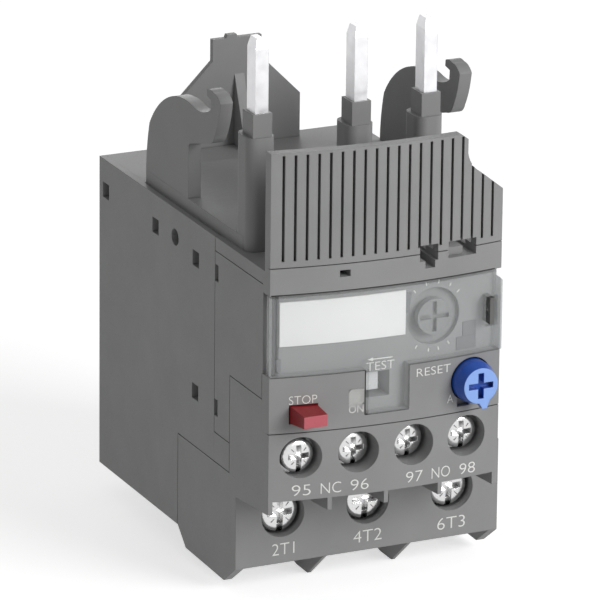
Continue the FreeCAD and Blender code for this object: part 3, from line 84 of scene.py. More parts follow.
def add_node(tree: Tree, kind: str, settings: Optional[Settings] = None,
             links: Optional[Links] = None) -> bpy.types.Node:
    """Add one node with its settings and links.

    Args:
        tree: Node tree that gets the node.
        kind: Blender's name of the node's type, without its "ShaderNode" prefix.
        settings: Values by attribute name, or by socket name where there is no attribute.
        links: For each input socket, the node and output that feed it.

    Returns:
        The new node.
    """
    node = tree.nodes.new("ShaderNode" + kind)
    for name, value in (settings or {}).items():
        if hasattr(node, name):
            setattr(node, name, value)
        else:
            node.inputs[name].default_value = value
    for name, (source, output) in (links or {}).items():
        tree.links.new(source.outputs[output], node.inputs[name])
    return node


def combine(tree: Tree, operation: str, first: Output, second: Output) -> Output:
    """Add a Math node that works on two outputs.

    Args:
        tree: Node tree that gets the node.
        operation: Blender's name of the operation.
        first: Node and output of the first value.
        second: Node and output of the second value.

    Returns:
        The Math node and the name of its output.
    """
    node = add_node(tree, "Math", {"operation": operation})
    for (source, output), entry in zip((first, second), node.inputs):
        tree.links.new(source.outputs[output], entry)
    return node, "Value"


def spread(tree: Tree, noise: Output, least: float, most: float,
           margin: float = BAND) -> Output:
    """Stretch the middle band of a noise over a range of values.

    Args:
        tree: Node tree that gets the node.
        noise: Node and output of the noise.
        least: Value at the low end of the band.
        most: Value at the high end of the band.
        margin: Share of the noise cut off at either end.

    Returns:
        The Map Range node and the name of its output.
    """
    node = add_node(tree, "MapRange",
                    {"From Min": margin, "From Max": 1 - margin, "To Min": least,
                     "To Max": most}, {"Value": noise})
    return node, "Result"


def mix_shaders(tree: Tree, share: Output, first: bpy.types.Node,
                second: bpy.types.Node) -> bpy.types.Node:
    """Mix two shaders.

    Args:
        tree: Node tree that gets the node.
        share: Node and output that give the second shader's share.
        first: Shader node shown where the share is zero.
        second: Shader node shown where the share is one.

    Returns:
        The mixing node.
    """
    mix = add_node(tree, "MixShader", {}, {"Fac": share})
    tree.links.new(first.outputs[0], mix.inputs[1])
    tree.links.new(second.outputs[0], mix.inputs[2])
    return mix


def in_gaps(tree: Tree, shade: Output, reach_mm: float,
            darkest: float) -> Output:
    """Darken a shade in seams, grooves and recesses with painted shade from ambient occlusion.

    Args:
        tree: Node tree of the material.
        shade: Node and output that give the shade outside the gaps.
        reach_mm: How wide a gap may be, in millimetres.
        darkest: Share of the shade that is left at the bottom of a gap.

    Returns:
        The node and output of the darkened shade.
    """
    if darkest >= 1:
        return shade
    # Painted shade: ambient occlusion darkens the colour in narrow gaps.
    hollow = add_node(tree, "AmbientOcclusion",
                      {"samples": 6, "Distance": reach_mm * MM})
    painted_gap_shade = add_node(tree, "MapRange",
                    {"From Min": 0.1, "From Max": 0.62, "To Min": darkest, "To Max": 1.0},
                    {"Value": (hollow, "AO")})
    return combine(tree, "MULTIPLY", shade, (painted_gap_shade, "Result"))


def background_rays(tree: Tree) -> Output:
    """Return what is one on camera, glossy and transmission rays, which see the background.

    Args:
        tree: Node tree that gets the nodes.

    Returns:
        The node and the name of its output.
    """
    path = add_node(tree, "LightPath")
    either = combine(tree, "MAXIMUM", (path, "Is Camera Ray"), (path, "Is Glossy Ray"))
    return combine(tree, "MAXIMUM", either, (path, "Is Transmission Ray"))


def blank(name: str) -> tuple[bpy.types.Material, Tree]:
    """Return a new material and its emptied node tree.

    Args:
        name: Name of the material.

    Returns:
        The material and its tree.
    """
    material = bpy.data.materials.new(name)
    material.use_nodes = True
    material.node_tree.nodes.clear()
    return material, material.node_tree


@dataclass(frozen=True)
class MouldedPlastic:
    """Injection-moulded thermoplastic with a spark-eroded, faintly mottled skin."""

    name: str
    colour: str
    roughness: float = 0.5
    gloss_swing: float = 0.06
    grain_mm: float = 0.28
    grain_height_mm: float = 0.012
    mottle: float = 0.05
    mottle_mm: float = 9.0
    edge_mm: float = 0.14
    specular: float = 0.4
    coat: float = 0.0
    # Painted shade in seams, grooves and recesses: how wide a gap may be and how much colour is
    # left at its bottom.
    gap_mm: float = 0.9
    gap_shade: float = 0.3

    def base(self, tree: Tree, place: bpy.types.Node) -> Output:
        """Return the node and output that give the plastic's own colour.

        Args:
            tree: Node tree of the material.
            place: Texture Coordinate node of the tree.

        Returns:
            The node and the name of its colour output.
        """
        pigment = add_node(tree, "RGB")
        pigment.outputs[0].default_value = linear(self.colour)
        return pigment, "Color"

    def material(self) -> bpy.types.Material:
        """Return the node material of this plastic."""
        material, tree = blank(self.name)
        place = add_node(tree, "TexCoord")
        grain = add_node(tree, "TexNoise",
                         {"Scale": 1 / (self.grain_mm * MM), "Detail": 3.0, "Roughness": 0.6},
                         {"Vector": (place, "Object")})
        cloud = add_node(tree, "TexNoise",
                         {"Scale": 1 / (self.mottle_mm * MM), "Detail": 4.0},
                         {"Vector": (place, "Object")})
        shade = spread(tree, (cloud, "Fac"), 1 - self.mottle, 1 + self.mottle)
        # The colour carries painted shade in its gaps.
        depth = in_gaps(tree, shade, self.gap_mm, self.gap_shade)
        tint = add_node(tree, "VectorMath", {"operation": "SCALE"},
                        {"Scale": depth, "Vector": self.base(tree, place)})
        gloss = spread(tree, (grain, "Fac"), self.roughness - self.gloss_swing,
                       self.roughness + self.gloss_swing, FINE_BAND)
        edge = add_node(tree, "Bevel", {"samples": 4, "Radius": self.edge_mm * MM})
        bump = add_node(tree, "Bump",
                        {"Strength": 0.35, "Distance": self.grain_height_mm * MM},
                        {"Height": (grain, "Fac"), "Normal": (edge, "Normal")})
        skin = add_node(tree, "BsdfPrincipled",
                        {"IOR": 1.5, "Specular IOR Level": self.specular,
                         "Coat Weight": self.coat, "Coat Roughness": 0.25},
                        {"Base Color": (tint, "Vector"), "Roughness": gloss,
                         "Normal": (bump, "Normal")})
        add_node(tree, "OutputMaterial", {}, {"Surface": (skin, "BSDF")})
        return material


@dataclass(frozen=True)
class FrontHighlitPlastic(MouldedPlastic):
    """Moulded plastic whose front faces carry a painted highlight, paler than its flanks."""

    # Colour of the painted highlight on the forward faces.
    face: str = "#ffffff"
    node: str = ""
    face_depth_mm: float = 0.45

    def base(self, tree: Tree, place: bpy.types.Node) -> Output:
        """Return the colour, with a painted highlight where the surface faces forwards near the
        front.

        Args:
            tree: Node tree of the material.
            place: Texture Coordinate node of the tree.

        Returns:
            The mixing node and the name of its colour output.
        """
        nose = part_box(self.node)[0].y
        where = add_node(tree, "SeparateXYZ", {}, {"Vector": (place, "Object")})
        facing = add_node(tree, "SeparateXYZ", {}, {"Vector": (place, "Normal")})
        near = add_node(tree, "MapRange",
                        {"From Min": nose + self.face_depth_mm * MM,
                         "From Max": nose + 0.6 * self.face_depth_mm * MM},
                        {"Value": (where, "Y")})
        ahead = add_node(tree, "MapRange", {"From Min": -0.5, "From Max": -0.9},
                         {"Value": (facing, "Y")})
        both = combine(tree, "MULTIPLY", (near, "Result"), (ahead, "Result"))
        mix = add_node(tree, "MixRGB",
                       {"Color1": linear(self.colour), "Color2": linear(self.face)},
                       {"Fac": both})
        return mix, "Color"


@dataclass(frozen=True)
class PlatedMetal:
    """Metal with a thin bright plating over faint turning or rolling marks."""

    name: str
    colour: str
    roughness: float = 0.22
    mark_mm: float = 0.12
    mark_height_mm: float = 0.004
    stretch: tuple[float, float, float] = (1.0, 1.0, 1.0)
    edge_mm: float = 0.08
    # Painted shade in recesses: how wide a gap may be and how much colour is left at its bottom.
    gap_mm: float = 1.0
    gap_shade: float = 1.0

    def material(self) -> bpy.types.Material:
        """Return the node material of this metal."""
        material, tree = blank(self.name)
        place = add_node(tree, "TexCoord")
        drawn = add_node(tree, "Mapping", {"Scale": self.stretch},
                         {"Vector": (place, "Object")})
        marks = add_node(tree, "TexNoise",
                         {"Scale": 1 / (self.mark_mm * MM), "Detail": 4.0},
                         {"Vector": (drawn, "Vector")})
        haze = add_node(tree, "TexNoise", {"Scale": 1 / (2.0 * MM), "Detail": 3.0},
                        {"Vector": (place, "Object")})
        gloss = spread(tree, (haze, "Fac"), self.roughness * 0.8, self.roughness * 1.35)
        tone = spread(tree, (marks, "Fac"), 0.94, 1.0)
        # The tone carries painted shade in its gaps.
        depth = in_gaps(tree, tone, self.gap_mm, self.gap_shade)
        tint = add_node(tree, "VectorMath",
                        {"operation": "SCALE"}, {"Scale": depth})
        tint.inputs[0].default_value = linear(self.colour)[:3]
        edge = add_node(tree, "Bevel", {"samples": 4, "Radius": self.edge_mm * MM})
        bump = add_node(tree, "Bump",
                        {"Strength": 0.3, "Distance": self.mark_height_mm * MM},
                        {"Height": (marks, "Fac"), "Normal": (edge, "Normal")})
        skin = add_node(tree, "BsdfPrincipled", {"Metallic": 1.0},
                        {"Base Color": (tint, "Vector"), "Roughness": gloss,
                         "Normal": (bump, "Normal")})
        add_node(tree, "OutputMaterial", {}, {"Surface": (skin, "BSDF")})
        return material


@dataclass(frozen=True)
class ClearPolycarbonate:
    """Thin clear polycarbonate: see-through, with a mirror gloss and a faint milky haze."""

    name: str
    haze: str = "#e0e2e3"
    haze_share: float = 0.095
    gloss_roughness: float = 0.08
    clear: Colour = (0.985, 0.99, 0.99, 1.0)

    def material(self) -> bpy.types.Material:
        """Return the node material of the clear cover."""
        material, tree = blank(self.name)
        place = add_node(tree, "TexCoord")
        flow = add_node(tree, "TexNoise", {"Scale": 1 / (6.0 * MM), "Detail": 2.0},
                        {"Vector": (place, "Object")})
        bump = add_node(tree, "Bump", {"Strength": 0.2, "Distance": 0.02 * MM},
                        {"Height": (flow, "Fac")})
        veil = spread(tree, (flow, "Fac"), self.haze_share * 0.9, self.haze_share * 1.1)
        through = add_node(tree, "BsdfTransparent", {"Color": self.clear})
        milk = add_node(tree, "BsdfDiffuse", {"Color": linear(self.haze)},
                        {"Normal": (bump, "Normal")})
        mirror = add_node(tree, "BsdfAnisotropic",
                          {"Color": (1.0, 1.0, 1.0, 1.0), "Roughness": self.gloss_roughness},
                          {"Normal": (bump, "Normal")})
        rim = add_node(tree, "Fresnel", {"IOR": 1.58}, {"Normal": (bump, "Normal")})
        side = add_node(tree, "NewGeometry")
        outer = add_node(tree, "Math", {"operation": "MULTIPLY_ADD"})
        tree.links.new(side.outputs["Backfacing"], outer.inputs[0])
        outer.inputs[1].default_value = -1.0
        outer.inputs[2].default_value = 1.0
        sheen = combine(tree, "MULTIPLY", (rim, "Fac"), (outer, "Value"))
        path = add_node(tree, "LightPath")
        body = mix_shaders(tree, veil, through, milk)
        skin = mix_shaders(tree, sheen, body, mirror)
        lit = mix_shaders(tree, (path, "Is Shadow Ray"), skin, through)
        add_node(tree, "OutputMaterial", {}, {"Surface": (lit, 0)})
        return material


@dataclass(frozen=True)
class StudioPaper:
    """Matt white paper under and behind the object; it shows white and keeps the shadow."""

    name: str
    white: Colour = (0.8, 0.8, 0.8, 1.0)
    lift: float = 0.62
    mirrored: float = 0.85

    def material(self) -> bpy.types.Material:
        """Return the node material of the floor."""
        material, tree = blank(self.name)
        path = add_node(tree, "LightPath")
        paper = add_node(tree, "BsdfDiffuse", {"Color": self.white})
        glow = add_node(tree, "Emission", {"Strength": self.lift})
        white = add_node(tree, "Emission", {"Strength": self.mirrored})
        both = add_node(tree, "AddShader")
        tree.links.new(paper.outputs[0], both.inputs[0])
        tree.links.new(glow.outputs[0], both.inputs[1])
        plain = mix_shaders(tree, background_rays(tree), paper, white)
        seen = mix_shaders(tree, (path, "Is Camera Ray"), plain, both)
        add_node(tree, "OutputMaterial", {}, {"Surface": (seen, "Shader")})
        return material


# Glass-filled polyamide, moulded in tools with a fine spark-eroded skin: matt mid grey; painted
# shade darkens its seams and grooves.
GREY_HOUSING = MouldedPlastic("polyamide_mid_grey", "#919191", gap_shade=0.4)
# The same polyamide in the mounting frame, hooks and columns.
GREY_FRAME = MouldedPlastic("polyamide_mid_grey_frame", "#8b8b8b", mottle=0.04)
# The same polyamide in the narrow seal lug, in a darker grey.
GREY_LUG = MouldedPlastic("polyamide_seal_lug", "#646463", mottle=0.08)
# Black polyamide of the inner mechanism: darker and a little glossier.
BLACK_MECHANISM = MouldedPlastic("polyamide_black", "#232323", roughness=0.42, mottle=0.08)
# Dark red ABS of the stop button, polished in the tool; its front face is paler with a painted
# highlight, and painted shade darkens its gaps.
RED_ABS = FrontHighlitPlastic("abs_stop_red", "#921a21", roughness=0.34, grain_height_mm=0.006,
                       mottle=0.03, edge_mm=0.18, specular=0.35, coat=0.05, gap_shade=0.5,
                       face="#c0606a", node="stop_button", face_depth_mm=0.3)
# Mid blue ABS of the reset knob, polished in the tool; its front face is paler with a painted
# highlight, and painted shade darkens its gaps.
BLUE_ABS = FrontHighlitPlastic("abs_reset_blue", "#1850b4", roughness=0.34, grain_height_mm=0.006,
                        mottle=0.03, edge_mm=0.18, specular=0.5, coat=0.15, gap_shade=0.3,
                        face="#90b4f6", node="reset_knob", face_depth_mm=0.3)
# Light grey POM of the current dial, the reset stem and the trip flag.
DIAL_POM = MouldedPlastic("pom_dial_grey", "#8b8c8c", roughness=0.45, mottle=0.03)
# White POM of the test slide.
WHITE_POM = MouldedPlastic("pom_white", "#d8d8d9", roughness=0.45, mottle=0.02)
# Coated card of the write-on label: very even, almost pure white.
WHITE_CARD = MouldedPlastic("card_label_white", "#f9f8f7", roughness=0.6, grain_mm=0.5,
                            grain_height_mm=0.01, mottle=0.012, edge_mm=0.05, specular=0.3,
                            gap_shade=1.0)
# Pad-printed white ink: a thin even film with soft edges.
WHITE_INK = MouldedPlastic("ink_pad_print_white", "#ecece8", roughness=0.55, grain_mm=0.4,
                           grain_height_mm=0.01, mottle=0.03, edge_mm=0.03, specular=0.3,
                           gap_shade=1.0)
# Silver-plated copper of pins, straps and contacts: bright, soft-edged.
SILVERED_COPPER = PlatedMetal("silver_plate_on_copper", "#f6f6f8", roughness=0.45,
                              mark_height_mm=0.003, stretch=(3.0, 3.0, 0.3), edge_mm=0.15)
# Zinc-nickel plated steel of screws and clamps: brighter on turned faces; painted shade darkens
# the screws' recesses.
PLATED_STEEL = PlatedMetal("zinc_nickel_plate_on_steel", "#f4f4f4", roughness=0.2,
                           mark_mm=0.2, edge_mm=0.1, gap_shade=0.12)
# Rolled bimetal strip, long rolling lines upright.
ROLLED_BIMETAL = PlatedMetal("rolled_bimetal_strip", "#b9ae9d", roughness=0.34,
                             mark_height_mm=0.006, stretch=(3.0, 3.0, 0.2))
# Bright drawn spring wire.
SPRING_WIRE = PlatedMetal("drawn_spring_wire", "#b5b6b8", roughness=0.28, mark_mm=0.1)
# Glass-fibre sleeve round each bimetal with its resistance ribbon.
GLASS_SLEEVE = MouldedPlastic("glass_fibre_sleeve", "#cfc9ba", roughness=0.75, grain_mm=0.35,
                              grain_height_mm=0.05, mottle=0.06, mottle_mm=2.0, specular=0.2)
# Dark bottom of a moulded seam, slot or pocket, where little light gets in.
SEAM_GREY = MouldedPlastic("polyamide_in_a_seam", "#3f3f3e", roughness=0.7, mottle=0.03,
                           specular=0.1)
# Pocket floors that lie in soft shade behind the clear cover.
POCKET_GREY = MouldedPlastic("polyamide_in_a_pocket", "#757678", roughness=0.6, mottle=0.03,
                             specular=0.2)
# Plated steel in the four small ticks on each screw head, painted darker as their shade.
TICK_SHADE_STEEL = PlatedMetal("zinc_nickel_plate_tick_shade", "#8d8d8d", roughness=0.4)
CLEAR_COVER = ClearPolycarbonate("polycarbonate_clear")
# The same polycarbonate seen edge on, through more of it: milkier.
CLEAR_EDGE = ClearPolycarbonate("polycarbonate_clear_edge", haze="#c2c4c5", haze_share=0.6)
FLOOR_PAPER = StudioPaper("studio_paper_white")

NODE_FINISHES: dict[object, str] = {
    GREY_HOUSING: "side_cover main_housing front_housing ribbed_hood control_block main_block",
    GREY_LUG: "seal_lug",
    GREY_FRAME: "mounting_frame left_hook right_hook latch_plate",
    BLACK_MECHANISM: "drive_bar differential_bar trip_crank contact_carrier setting_cam",
    RED_ABS: "stop_button",
    BLUE_ABS: "reset_knob",
    DIAL_POM: "setting_dial reset_stem trip_flag",
    WHITE_POM: "test_slide",
    WHITE_CARD: "name_label",
    SILVERED_COPPER: "line_pin_1 line_pin_2 line_pin_3 load_strap_1 load_strap_2 load_strap_3 "
                     "fixed_contact_95 fixed_contact_96 fixed_contact_97 fixed_contact_98 "
                     "nc_bridge no_bridge",
    PLATED_STEEL: "main_clamps control_clamps main_screws control_screws cover_pin",
    ROLLED_BIMETAL: "bimetal_1 bimetal_2 bimetal_3",
    SPRING_WIRE: "stop_spring reset_spring",
    GLASS_SLEEVE: "heater_1 heater_2 heater_3",
    CLEAR_COVER: "clear_cover",
}


class Workshop:
    """Keeps the materials already made and turns bmeshes into finished pieces."""

    def __init__(self) -> None:
        """Start with no material made."""
        self.materials: dict[object, bpy.types.Material] = {}

    def finish(self, finish: object) -> bpy.types.Material:
        """Return the material of a finish, made once."""
        if finish not in self.materials:
            self.materials[finish] = finish.material()
        return self.materials[finish]

    def dress_nodes(self) -> None:
        """Give every CAD node its material."""
        for finish, names in NODE_FINISHES.items():
            for name in names.split():
                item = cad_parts[name]
                item.data.materials.clear()
                item.data.materials.append(self.finish(finish))
                LOG.info("dressed %s in %s", name, finish.name)

    def piece(self, mesh: bpy.types.Mesh, name: str, finish: object, body: str, slot: str,
              stands_for: Sequence[str] = ()) -> bpy.types.Object:
        """Turn a mesh in frame coordinates into a finished piece.

        Args:
            mesh: Finished mesh, already in place.
            name: Name of the piece.
            finish: Finish that it gets.
            body: CAD body that it rides on.
            slot: Material slot of the record that it belongs to; not used.
            stands_for: CAD nodes that it replaces.

        Returns:
            The new object.
        """
        mesh.name = name
        mesh.materials.clear()
        mesh.materials.append(self.finish(finish))
        item = bpy.data.objects.new(name, mesh)
        bpy.context.scene.collection.objects.link(item)
        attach(item, body)
        if stands_for:
            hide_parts(*stands_for)
        LOG.info("built %s, %d faces", name, len(mesh.polygons))
        return item


@dataclass(frozen=True)
class Datum:
    """Corner datum of the housing: millimetres there become metres of the frame."""

    back: float
    base: float

    @classmethod
    def from_frame(cls) -> "Datum":
        """Read the datum from the side cover, which starts 20 mm behind it."""
        low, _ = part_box("side_cover")
        return cls(back=low.y - 20.0 * MM, base=low.z)

    def point(self, x: float, y: float, z: float) -> Vector:
        """Return the frame position of a point given in datum millimetres."""
        return Vector((x * MM, self.back + y * MM, self.base + z * MM))


@dataclass(frozen=True)
class BowedFront:
    """The bowed front surface, an upright cylinder over a slightly skewed chord."""

    left: float = -22.5
    width: float = 38.25
    bulge: float = 1.8
    skew: float = 1.27

    @property
    def chord(self) -> float:
        """Return the chord's length."""
        return math.hypot(self.width, self.skew)

    @property
    def radius(self) -> float:
        """Return the radius of the bow."""
        return self.chord ** 2 / (8 * self.bulge) + self.bulge / 2

    def depth(self, x: float, inset: float = 0.0) -> float:
        """Return the datum Y of the front surface.

        Args:
            x: Datum X in millimetres.
            inset: How far behind the nominal surface, in millimetres.

        Returns:
            Datum Y in millimetres.
        """
        rest = self.radius - self.bulge
        centre_x = self.left + self.width / 2 + rest * self.skew / self.chord
        centre_y = -self.skew / 2 + rest * self.width / self.chord
        return centre_y - math.sqrt((self.radius - inset) ** 2 - (x - centre_x) ** 2)


class Ground(Enum):
    """The surfaces that legends are printed on."""

    FRONT = "bowed front"
    TERMINALS = "flat front of the main terminals"


@dataclass(frozen=True)
class Legend:
    """One printed word or number: its text, left end, baseline, size and surface."""

    name: str
    words: str
    left: float
    base: float
    width: float
    height: float
    ground: Ground = Ground.FRONT
    inset: float = 0.0
    body: str = "housing"


@dataclass
class Print:
    """All pad-printed marks of the relay."""

    shop: Workshop
    datum: Datum
    front: BowedFront = field(default_factory=BowedFront)
    terminal_face: float = 11.7
    film_mm: float = 0.03
    sunk: float = 0.1
    thin: float = -0.012
    legends: tuple[Legend, ...] = (
        Legend("mark_stop", "STOP", -19.45, 30.62, 4.35, 1.35),
        Legend("mark_reset", "RESET", 1.08, 32.85, 5.85, 1.3),
        Legend("mark_auto", "A", 6.45, 27.8, 1.0, 1.3),
        Legend("mark_on", "ON", -10.03, 28.4, 2.33, 1.15),
        Legend("mark_95", "95", -18.89, 15.85, 2.95, 1.75),
        Legend("mark_nc", "NC", -14.38, 15.82, 3.25, 1.75),
        Legend("mark_96", "96", -9.62, 15.85, 2.95, 1.75),
        Legend("mark_97", "97", -0.45, 15.9, 2.85, 1.75),
        Legend("mark_no", "NO", 3.94, 15.9, 3.2, 1.75),
        Legend("mark_98", "98", 8.83, 15.75, 2.8, 1.75),
        Legend("mark_2t1", "2T1", -16.28, 1.35, 3.8, 1.92, Ground.TERMINALS),
        Legend("mark_4t2", "4T2", -2.4, 1.35, 4.88, 1.95, Ground.TERMINALS),
        Legend("mark_6t3", "6T3", 12.1, 1.35, 4.8, 1.95, Ground.TERMINALS),
        Legend("mark_test", "TEST", -7.15, 34.75, 4.6, 1.33, inset=0.34, body="cover"),
    )

    def text_mesh(self, words: str) -> bpy.types.Mesh:
        """Return a flat extruded mesh of some words, one unit high."""
        curve = bpy.data.curves.new("words", "FONT")
        curve.body = words
        curve.extrude = 0.5
        curve.offset = self.thin
        curve.resolution_u = 4
        carrier = bpy.data.objects.new("words", curve)
        mesh = bpy.data.meshes.new_from_object(carrier)
        bpy.data.objects.remove(carrier)
        bpy.data.curves.remove(curve)
        return mesh

    def surface(self, legend: Legend, x: float) -> float:
        """Return the datum Y of a legend's surface at an X."""
        if legend.ground is Ground.TERMINALS:
            return self.terminal_face
        return self.front.depth(x, legend.inset)

    def make(self, legend: Legend) -> None:
        """Lay one legend on its surface and finish it."""
        mesh = self.text_mesh(legend.words)
        low = Vector([min(v.co[axis] for v in mesh.vertices) for axis in range(3)])
        high = Vector([max(v.co[axis] for v in mesh.vertices) for axis in range(3)])
        for vertex in mesh.vertices:
            x = legend.left + (vertex.co.x - low.x) / (high.x - low.x) * legend.width
            z = legend.base + (vertex.co.y - low.y) / (high.y - low.y) * legend.height
            lift = self.film_mm * (1 - self.sunk if vertex.co.z > 0 else -self.sunk)
            vertex.co = self.datum.point(x, self.surface(legend, x) - lift, z)
        self.shop.piece(mesh, legend.name, WHITE_INK, legend.body, "white_label")

    def build(self) -> None:
        """Make every legend."""
        for legend in self.legends:
            self.make(legend)


@dataclass(frozen=True)
class Film:
    """A thin plate that lies on the bowed front: its corners, depth and thickness."""

    corners: tuple[tuple[float, float], ...]
    inset: float = 0.0
    thick: float = 0.05


@dataclass
class Relief:
    """Seams, pocket floors, ticks and hatching that lie on the bowed front unit."""

    shop: Workshop
    datum: Datum
    front: BowedFront = field(default_factory=BowedFront)
    seam: float = 0.17
    step_mm: float = 1.2
    step_end: float = 0.1
    cover: tuple[float, float, float, float] = (-22.3, 35.14, 15.75, 48.08)
    tab: tuple[float, float, float] = (-7.35, -0.25, 28.0)
    dial: tuple[float, float] = (4.55, 41.7)
    tick_radius: float = 5.15
    tick_length: float = 0.55
    tick_angles: tuple[float, ...] = (127.0, 104.0, 81.0, 58.0, 38.0, -60.0, -80.0, -98.0, -122.0)
    window: tuple[float, float, float, float] = (-10.06, 29.63, -7.61, 32.16)
    hatch_pitch: float = 0.46
    hatch_line: float = 0.15
    pane_margin: float = 0.03
    pane_thick: float = 0.3
    joint_rise: float = 0.02
    joint_end: float = 1.2
    pocket_inset: float = 1.52
    pocket_thick: float = 0.06
    tick_inset: float = 1.54
    tick_width: float = 0.16
    arrow_level: float = 36.55
    arrow_tip: float = -6.95
    arrow_neck: float = -6.1
    arrow_half: float = 0.3
    arrow_shaft: tuple[float, float] = (-6.3, -2.9)
    arrow_inset: float = 0.31
    ink: float = 0.03
    lip: float = 0.3
    lip_side: float = 0.06
    lip_foot: float = 0.1
    lip_top: float = 1.7
    lip_rise: float = 0.66
    lip_thick: float = 2.1

    def bar(self, start: tuple[float, float], end: tuple[float, float], width: float,
            inset: float = 0.0, thick: float = 0.05) -> Film:
        """Return a straight bar between two points of the front.

        Args:
            start: Datum X and Z of one end.
            end: Datum X and Z of the other end.
            width: Width of the bar in millimetres.
            inset: How far its front lies behind the nominal surface.
            thick: Its thickness.

        Returns:
            The film.
        """
        run = Vector((end[0] - start[0], end[1] - start[1])).normalized() * width / 2
        side = Vector((-run.y, run.x))
        first, last = Vector(start), Vector(end)
        points = (first - side, last - side, last + side, first + side)
        return Film(tuple((point.x, point.y) for point in points), inset, thick)

    def lay(self, name: str, films: Iterable[Film], finish: object, body: str,
            slot: str) -> None:
        """Make one piece of several films.

        Args:
            name: Name of the piece.
            films: Its films.
            finish: Finish that it gets.
            body: CAD body that it rides on.
            slot: Material slot of the record.
        """
        shape = bmesh.new()
        for film in films:
            corners = [shape.verts.new((x, 0.0, z)) for x, z in film.corners]
            face = shape.faces.new(corners)
            low = min(x for x, _ in film.corners)
            high = max(x for x, _ in film.corners)
            parts = [face, *face.edges, *face.verts]
            for cut in range(1, math.ceil((high - low) / self.step_mm)):
                place = low + cut * self.step_mm
                if place > high - self.step_end:
                    break
                made = bmesh.ops.bisect_plane(shape, geom=parts, plane_co=(place, 0.0, 0.0),
                                              plane_no=(1.0, 0.0, 0.0))
                parts = made["geom"]
            faces = [item for item in parts if isinstance(item, bmesh.types.BMFace)]
            flat = {vertex for item in faces for vertex in item.verts}
            made = bmesh.ops.extrude_face_region(shape, geom=faces)
            raised = [item for item in made["geom"] if isinstance(item, bmesh.types.BMVert)]
            for vertices, depth in ((flat, film.inset + film.thick), (raised, film.inset)):
                for vertex in vertices:
                    x, z = vertex.co.x, vertex.co.z
                    vertex.co = self.datum.point(x, self.front.depth(x) + depth, z)
        bmesh.ops.recalc_face_normals(shape, faces=shape.faces)
        mesh = bpy.data.meshes.new(name)
        shape.to_mesh(mesh)
        shape.free()
        self.shop.piece(mesh, name, finish, body, slot)

    def seams(self) -> list[Film]:
        """Return the dark joint all round the clear cover, a strip of painted shade."""
        left, low, right, high = self.cover
        tab_left, tab_right, tab_low = self.tab
        half = self.seam / 2
        route = ((left, low - half), (tab_left - half, low - half),
                 (tab_left - half, tab_low - half), (tab_right + half, tab_low - half),
                 (tab_right + half, low - half), (right, low - half))
        route_top = ((left, high + half), (right - self.joint_end, high + half))
        return [self.bar(start, end, self.seam, -self.joint_rise)
                for start, end in (*zip(route, route[1:]), route_top)]

    def pockets(self) -> list[Film]:
        """Return the shaded floors behind the clear cover."""
        x, z = self.dial
        rows = (((x + 5.2, z - 4.1), (x + 7.6, z - 4.1), (x + 7.6, z - 1.8), (x + 5.2, z - 1.8)),
                ((x + 4.1, z - 6.2), (x + 7.6, z - 6.2), (x + 7.6, z - 4.1), (x + 4.1, z - 4.1)),
                ((x - 5.0, z + 1.1), (x - 4.2, z + 1.1), (x - 3.7, z + 4.4), (x - 5.0, z + 4.4)),
                ((-20.9, 35.5), (-20.1, 35.5), (-20.1, 37.5), (-20.9, 37.5)))
        return [Film(row, self.pocket_inset, self.pocket_thick) for row in rows]

    def ticks(self) -> list[Film]:
        """Return the scale ticks round the dial."""
        films = []
        for angle in self.tick_angles:
            turn = math.radians(angle)
            run = Vector((math.cos(turn), math.sin(turn)))
            start = Vector(self.dial) + run * self.tick_radius
            end = start + run * self.tick_length
            films.append(self.bar(tuple(start), tuple(end), self.tick_width, self.tick_inset))
        return films

    def hatch(self) -> list[Film]:
        """Return the diagonal lines of the flag window, clipped to it."""
        left, low, right, high = self.window
        wide, tall = right - left, high - low
        films, offset = [], -tall + self.hatch_pitch / 2
        while offset < wide:
            start = (left + max(offset, 0.0), low + max(-offset, 0.0))
            run = min(right - start[0], high - start[1])
            if run > self.hatch_pitch:
                end = (start[0] + run, start[1] + run)
                films.append(self.bar(start, end, self.hatch_line, 0.0, self.ink))
            offset += self.hatch_pitch
        return films

    def arrow(self) -> list[Film]:
        """Return the arrow over the test slide, which points left."""
        z, half, (start, end) = self.arrow_level, self.arrow_half, self.arrow_shaft
        head = ((self.arrow_tip, z), (self.arrow_neck, z - half), (self.arrow_neck, z + half))
        return [self.bar((start, z), (end, z), self.tick_width, self.arrow_inset, self.ink),
                Film(head, self.arrow_inset, self.ink)]

    def end_lip(self) -> list[Film]:
        """Return the milky right end of the clear cover, seen through its thickness."""
        _, low, right, high = self.cover
        outer, foot, top = right - self.lip_side, low + self.lip_foot, high - self.lip_top
        inner = outer - self.lip
        corners = ((inner, foot), (outer, foot), (outer, top), (inner, top + self.lip))
        return [Film(corners, -self.lip_rise, self.lip_thick)]

    def build(self) -> None:
        """Lay every film."""
        margin = self.pane_margin
        left, low, right, high = (edge + sign * margin
                                  for edge, sign in zip(self.window, (1, 1, -1, -1)))
        pane = ((left, low), (right, low), (right, high), (left, high))
        self.lay("cover_joint", self.seams(), SEAM_GREY, "housing", "housing_grey")
        self.lay("cover_pockets", self.pockets(), POCKET_GREY, "housing", "housing_grey")
        self.lay("dial_scale_ticks", self.ticks(), WHITE_INK, "housing", "white_label")
        self.lay("flag_window_pane", [Film(pane, margin, self.pane_thick)], CLEAR_COVER,
                 "housing", "clear_cover")
        self.lay("flag_window_hatch", self.hatch(), WHITE_INK, "housing", "white_label")
        self.lay("cover_end_lip", self.end_lip(), CLEAR_EDGE, "cover", "clear_cover")
        self.lay("test_arrow", self.arrow(), WHITE_INK, "cover", "white_label")


@dataclass(frozen=True)
class ScrewRow:
    """A row of equal clamp screws: the CAD node that it stands for, its count and sizes."""

    node: str
    count: int
    head_tall: float
    shank: float
    shank_length: float


